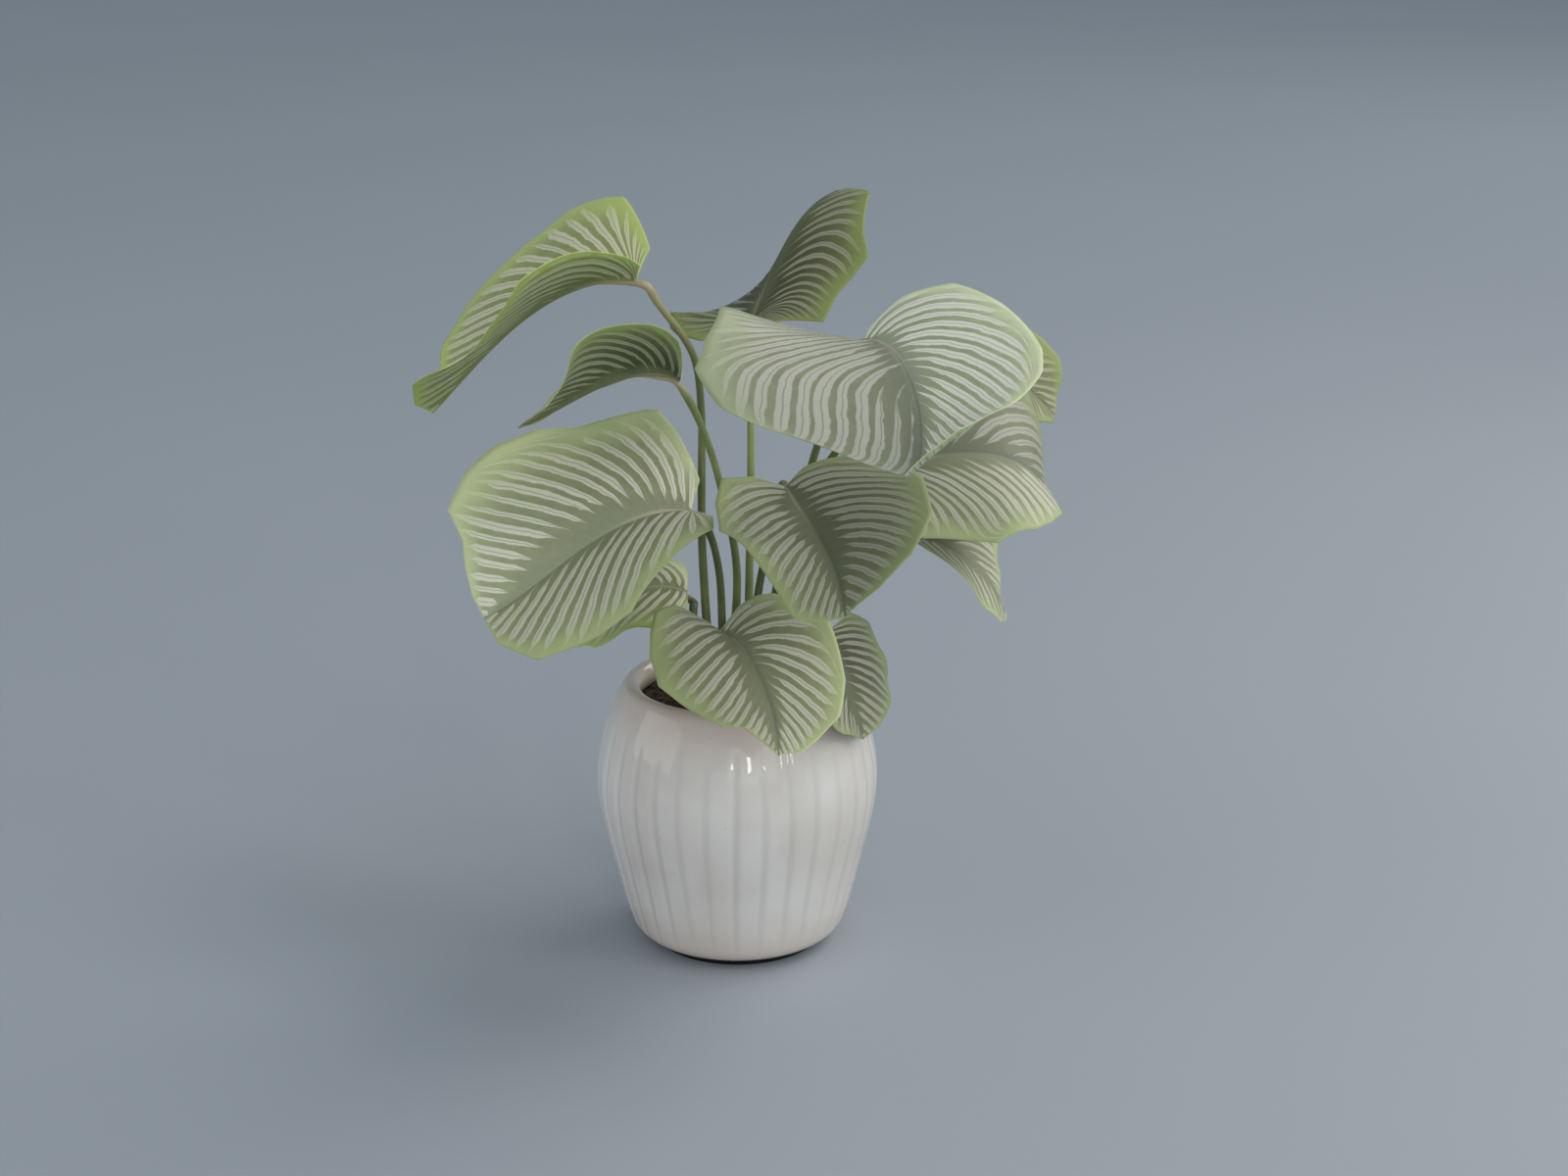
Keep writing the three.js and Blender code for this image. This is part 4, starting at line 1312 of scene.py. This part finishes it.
def stalk_line(leaf):
    """The stalk's middle line: up out of its hole, through its points and on under the midrib."""
    x, y = leaf["foot"]
    shares = np.array([leaf.get("meets", STALK_MEETS), *STALK_UNDER]) / leaf["length"]
    place, _, up = midrib_at(leaf, shares)
    under = place - up * np.array(STALK_DROPS)[:, None]
    heights = (SOIL_TOP - HOLE_DEPTH, SOIL_TOP - STRAIGHT_AT_SOIL, SOIL_TOP + STRAIGHT_AT_SOIL)
    rise = [(x, y, height) for height in heights]
    return smooth_line([*rise, *leaf["through"], *under], STALK_ROWS)


print("points on a stalk's line:", len(stalk_line(LEAVES["front"])))

# %% [markdown]
# The tube needs a side direction at every point of its line. Taking the blade's own level left, less
# its part along the line, keeps the tube from twisting.

# %% Stalk shell
STALK_COLUMNS = 20
STALK_FOOT_RADIUS = 4.2
STALK_TOP_RADIUS = 2.5
JOINT_BACK = 46
JOINT_LENGTH = 13
JOINT_SWELLING = 0.22
TIP_LENGTH = 38
TIP_RADIUS = 0.18
TIP_ROUNDNESS = 0.7
PALE_FROM = 30


def stalk_radius(way, left_over):
    """Foot to top with the root of the way, times the joint's swelling and the pointed end.

    The joint is exp(-(distance from its middle / length)²), measured back from the stalk's end.
    """
    radius = STALK_FOOT_RADIUS + (STALK_TOP_RADIUS - STALK_FOOT_RADIUS) * np.sqrt(way)
    joint = np.exp(-((left_over - JOINT_BACK) / JOINT_LENGTH) ** 2)
    end = np.clip(left_over / TIP_LENGTH, TIP_RADIUS, 1) ** TIP_ROUNDNESS
    return radius * (1 + JOINT_SWELLING * joint) * end, joint


def stalk_shell(leaf):
    """Rings square to the line: side cos(angle) + across sin(angle), times the radius."""
    line = stalk_line(leaf)
    forward = np.gradient(line, axis=0)
    forward /= np.linalg.norm(forward, axis=1, keepdims=True)
    heading = np.radians(leaf["heading"])
    level = np.array([-np.sin(heading), np.cos(heading), 0])
    side = level - forward * (forward @ level)[:, None]
    side /= np.linalg.norm(side, axis=1, keepdims=True)
    across = np.cross(forward, side)
    way = np.linspace(0, 1, STALK_ROWS)
    left_over = (1 - way) * np.linalg.norm(np.diff(line, axis=0), axis=1).sum()
    radius, joint = stalk_radius(way, left_over)
    angle = np.arange(STALK_COLUMNS) / STALK_COLUMNS * 2 * np.pi
    ring = side[:, None] * np.cos(angle)[:, None] + across[:, None] * np.sin(angle)[:, None]
    rings = line[:, None] + ring * radius[:, None, None]
    paleness = np.clip(1 - (left_over - PALE_FROM) / leaf["pale"], 0, 1)
    values = np.stack([way, paleness, joint], -1)[:, None] + np.zeros((1, STALK_COLUMNS, 1))
    attributes = {"stalk": values, "tone": np.full(values.shape[:2], leaf["stem"])}
    return rings, [line[0], line[-1]], attributes


print("rings and points of a stalk:", stalk_shell(LEAVES["front"])[0].shape[:2])

# %% [markdown]
# A stalk is mottled green with fine fibres along it, browner at the soil and pale at the joint.
# Noise stretched along Z gives the fibres. Every stalk has its own brightness, as its blade has.

# %% Stalk material
FIBRE_STRETCH = (1, 1, 0.05)
BROWN_TO_SOIL = (0.35, 0.0, 0.0, 0.5)

stalk_skin, wires, shader = new_material("stalk_skin")
way, paleness, _ = wires.split(wires.attribute("stalk")["Vector"])
lengthwise = wires.add("ShaderNodeMapping", {"Vector": wires.place(), "Scale": FIBRE_STRETCH})
fibres = wires.cloud(700.0, 2.0, lengthwise.outputs[0])
patches = wires.effect(mottling, {"Scale": 30.0})["Mask"]
green = wires.blend(patches, paint("#616d3e"), paint("#7c8953"))
green = wires.blend(fibres, green, paint("#93985f"), 0.35)
green = wires.blend(wires.fade(way, *BROWN_TO_SOIL), green, paint("#6a5f3c"))
green = wires.blend(paleness, green, paint("#b9ac86"))
tone = wires.attribute("tone")["Fac"]
green = wires.add("ShaderNodeHueSaturation", {"Color": green, "Value": tone}).outputs[0]
wires.give(shader["Base Color"], green)
shader["Roughness"].default_value = 0.45
skin = wires.effect(grain, {"Scale": 1100.0, "Depth": 0.2})
wires.give(shader["Normal"], skin["Normal"])

for name, leaf in LEAVES.items():
    rings, ends, attributes = stalk_shell(leaf)
    stalk = add_shell(f"stem_{name}", rings, ends, (stalk_skin,), attributes)
    seat(stalk, f"stalk_{name}")

# %% [markdown]
# The finished pieces must fill the same box as the solids.
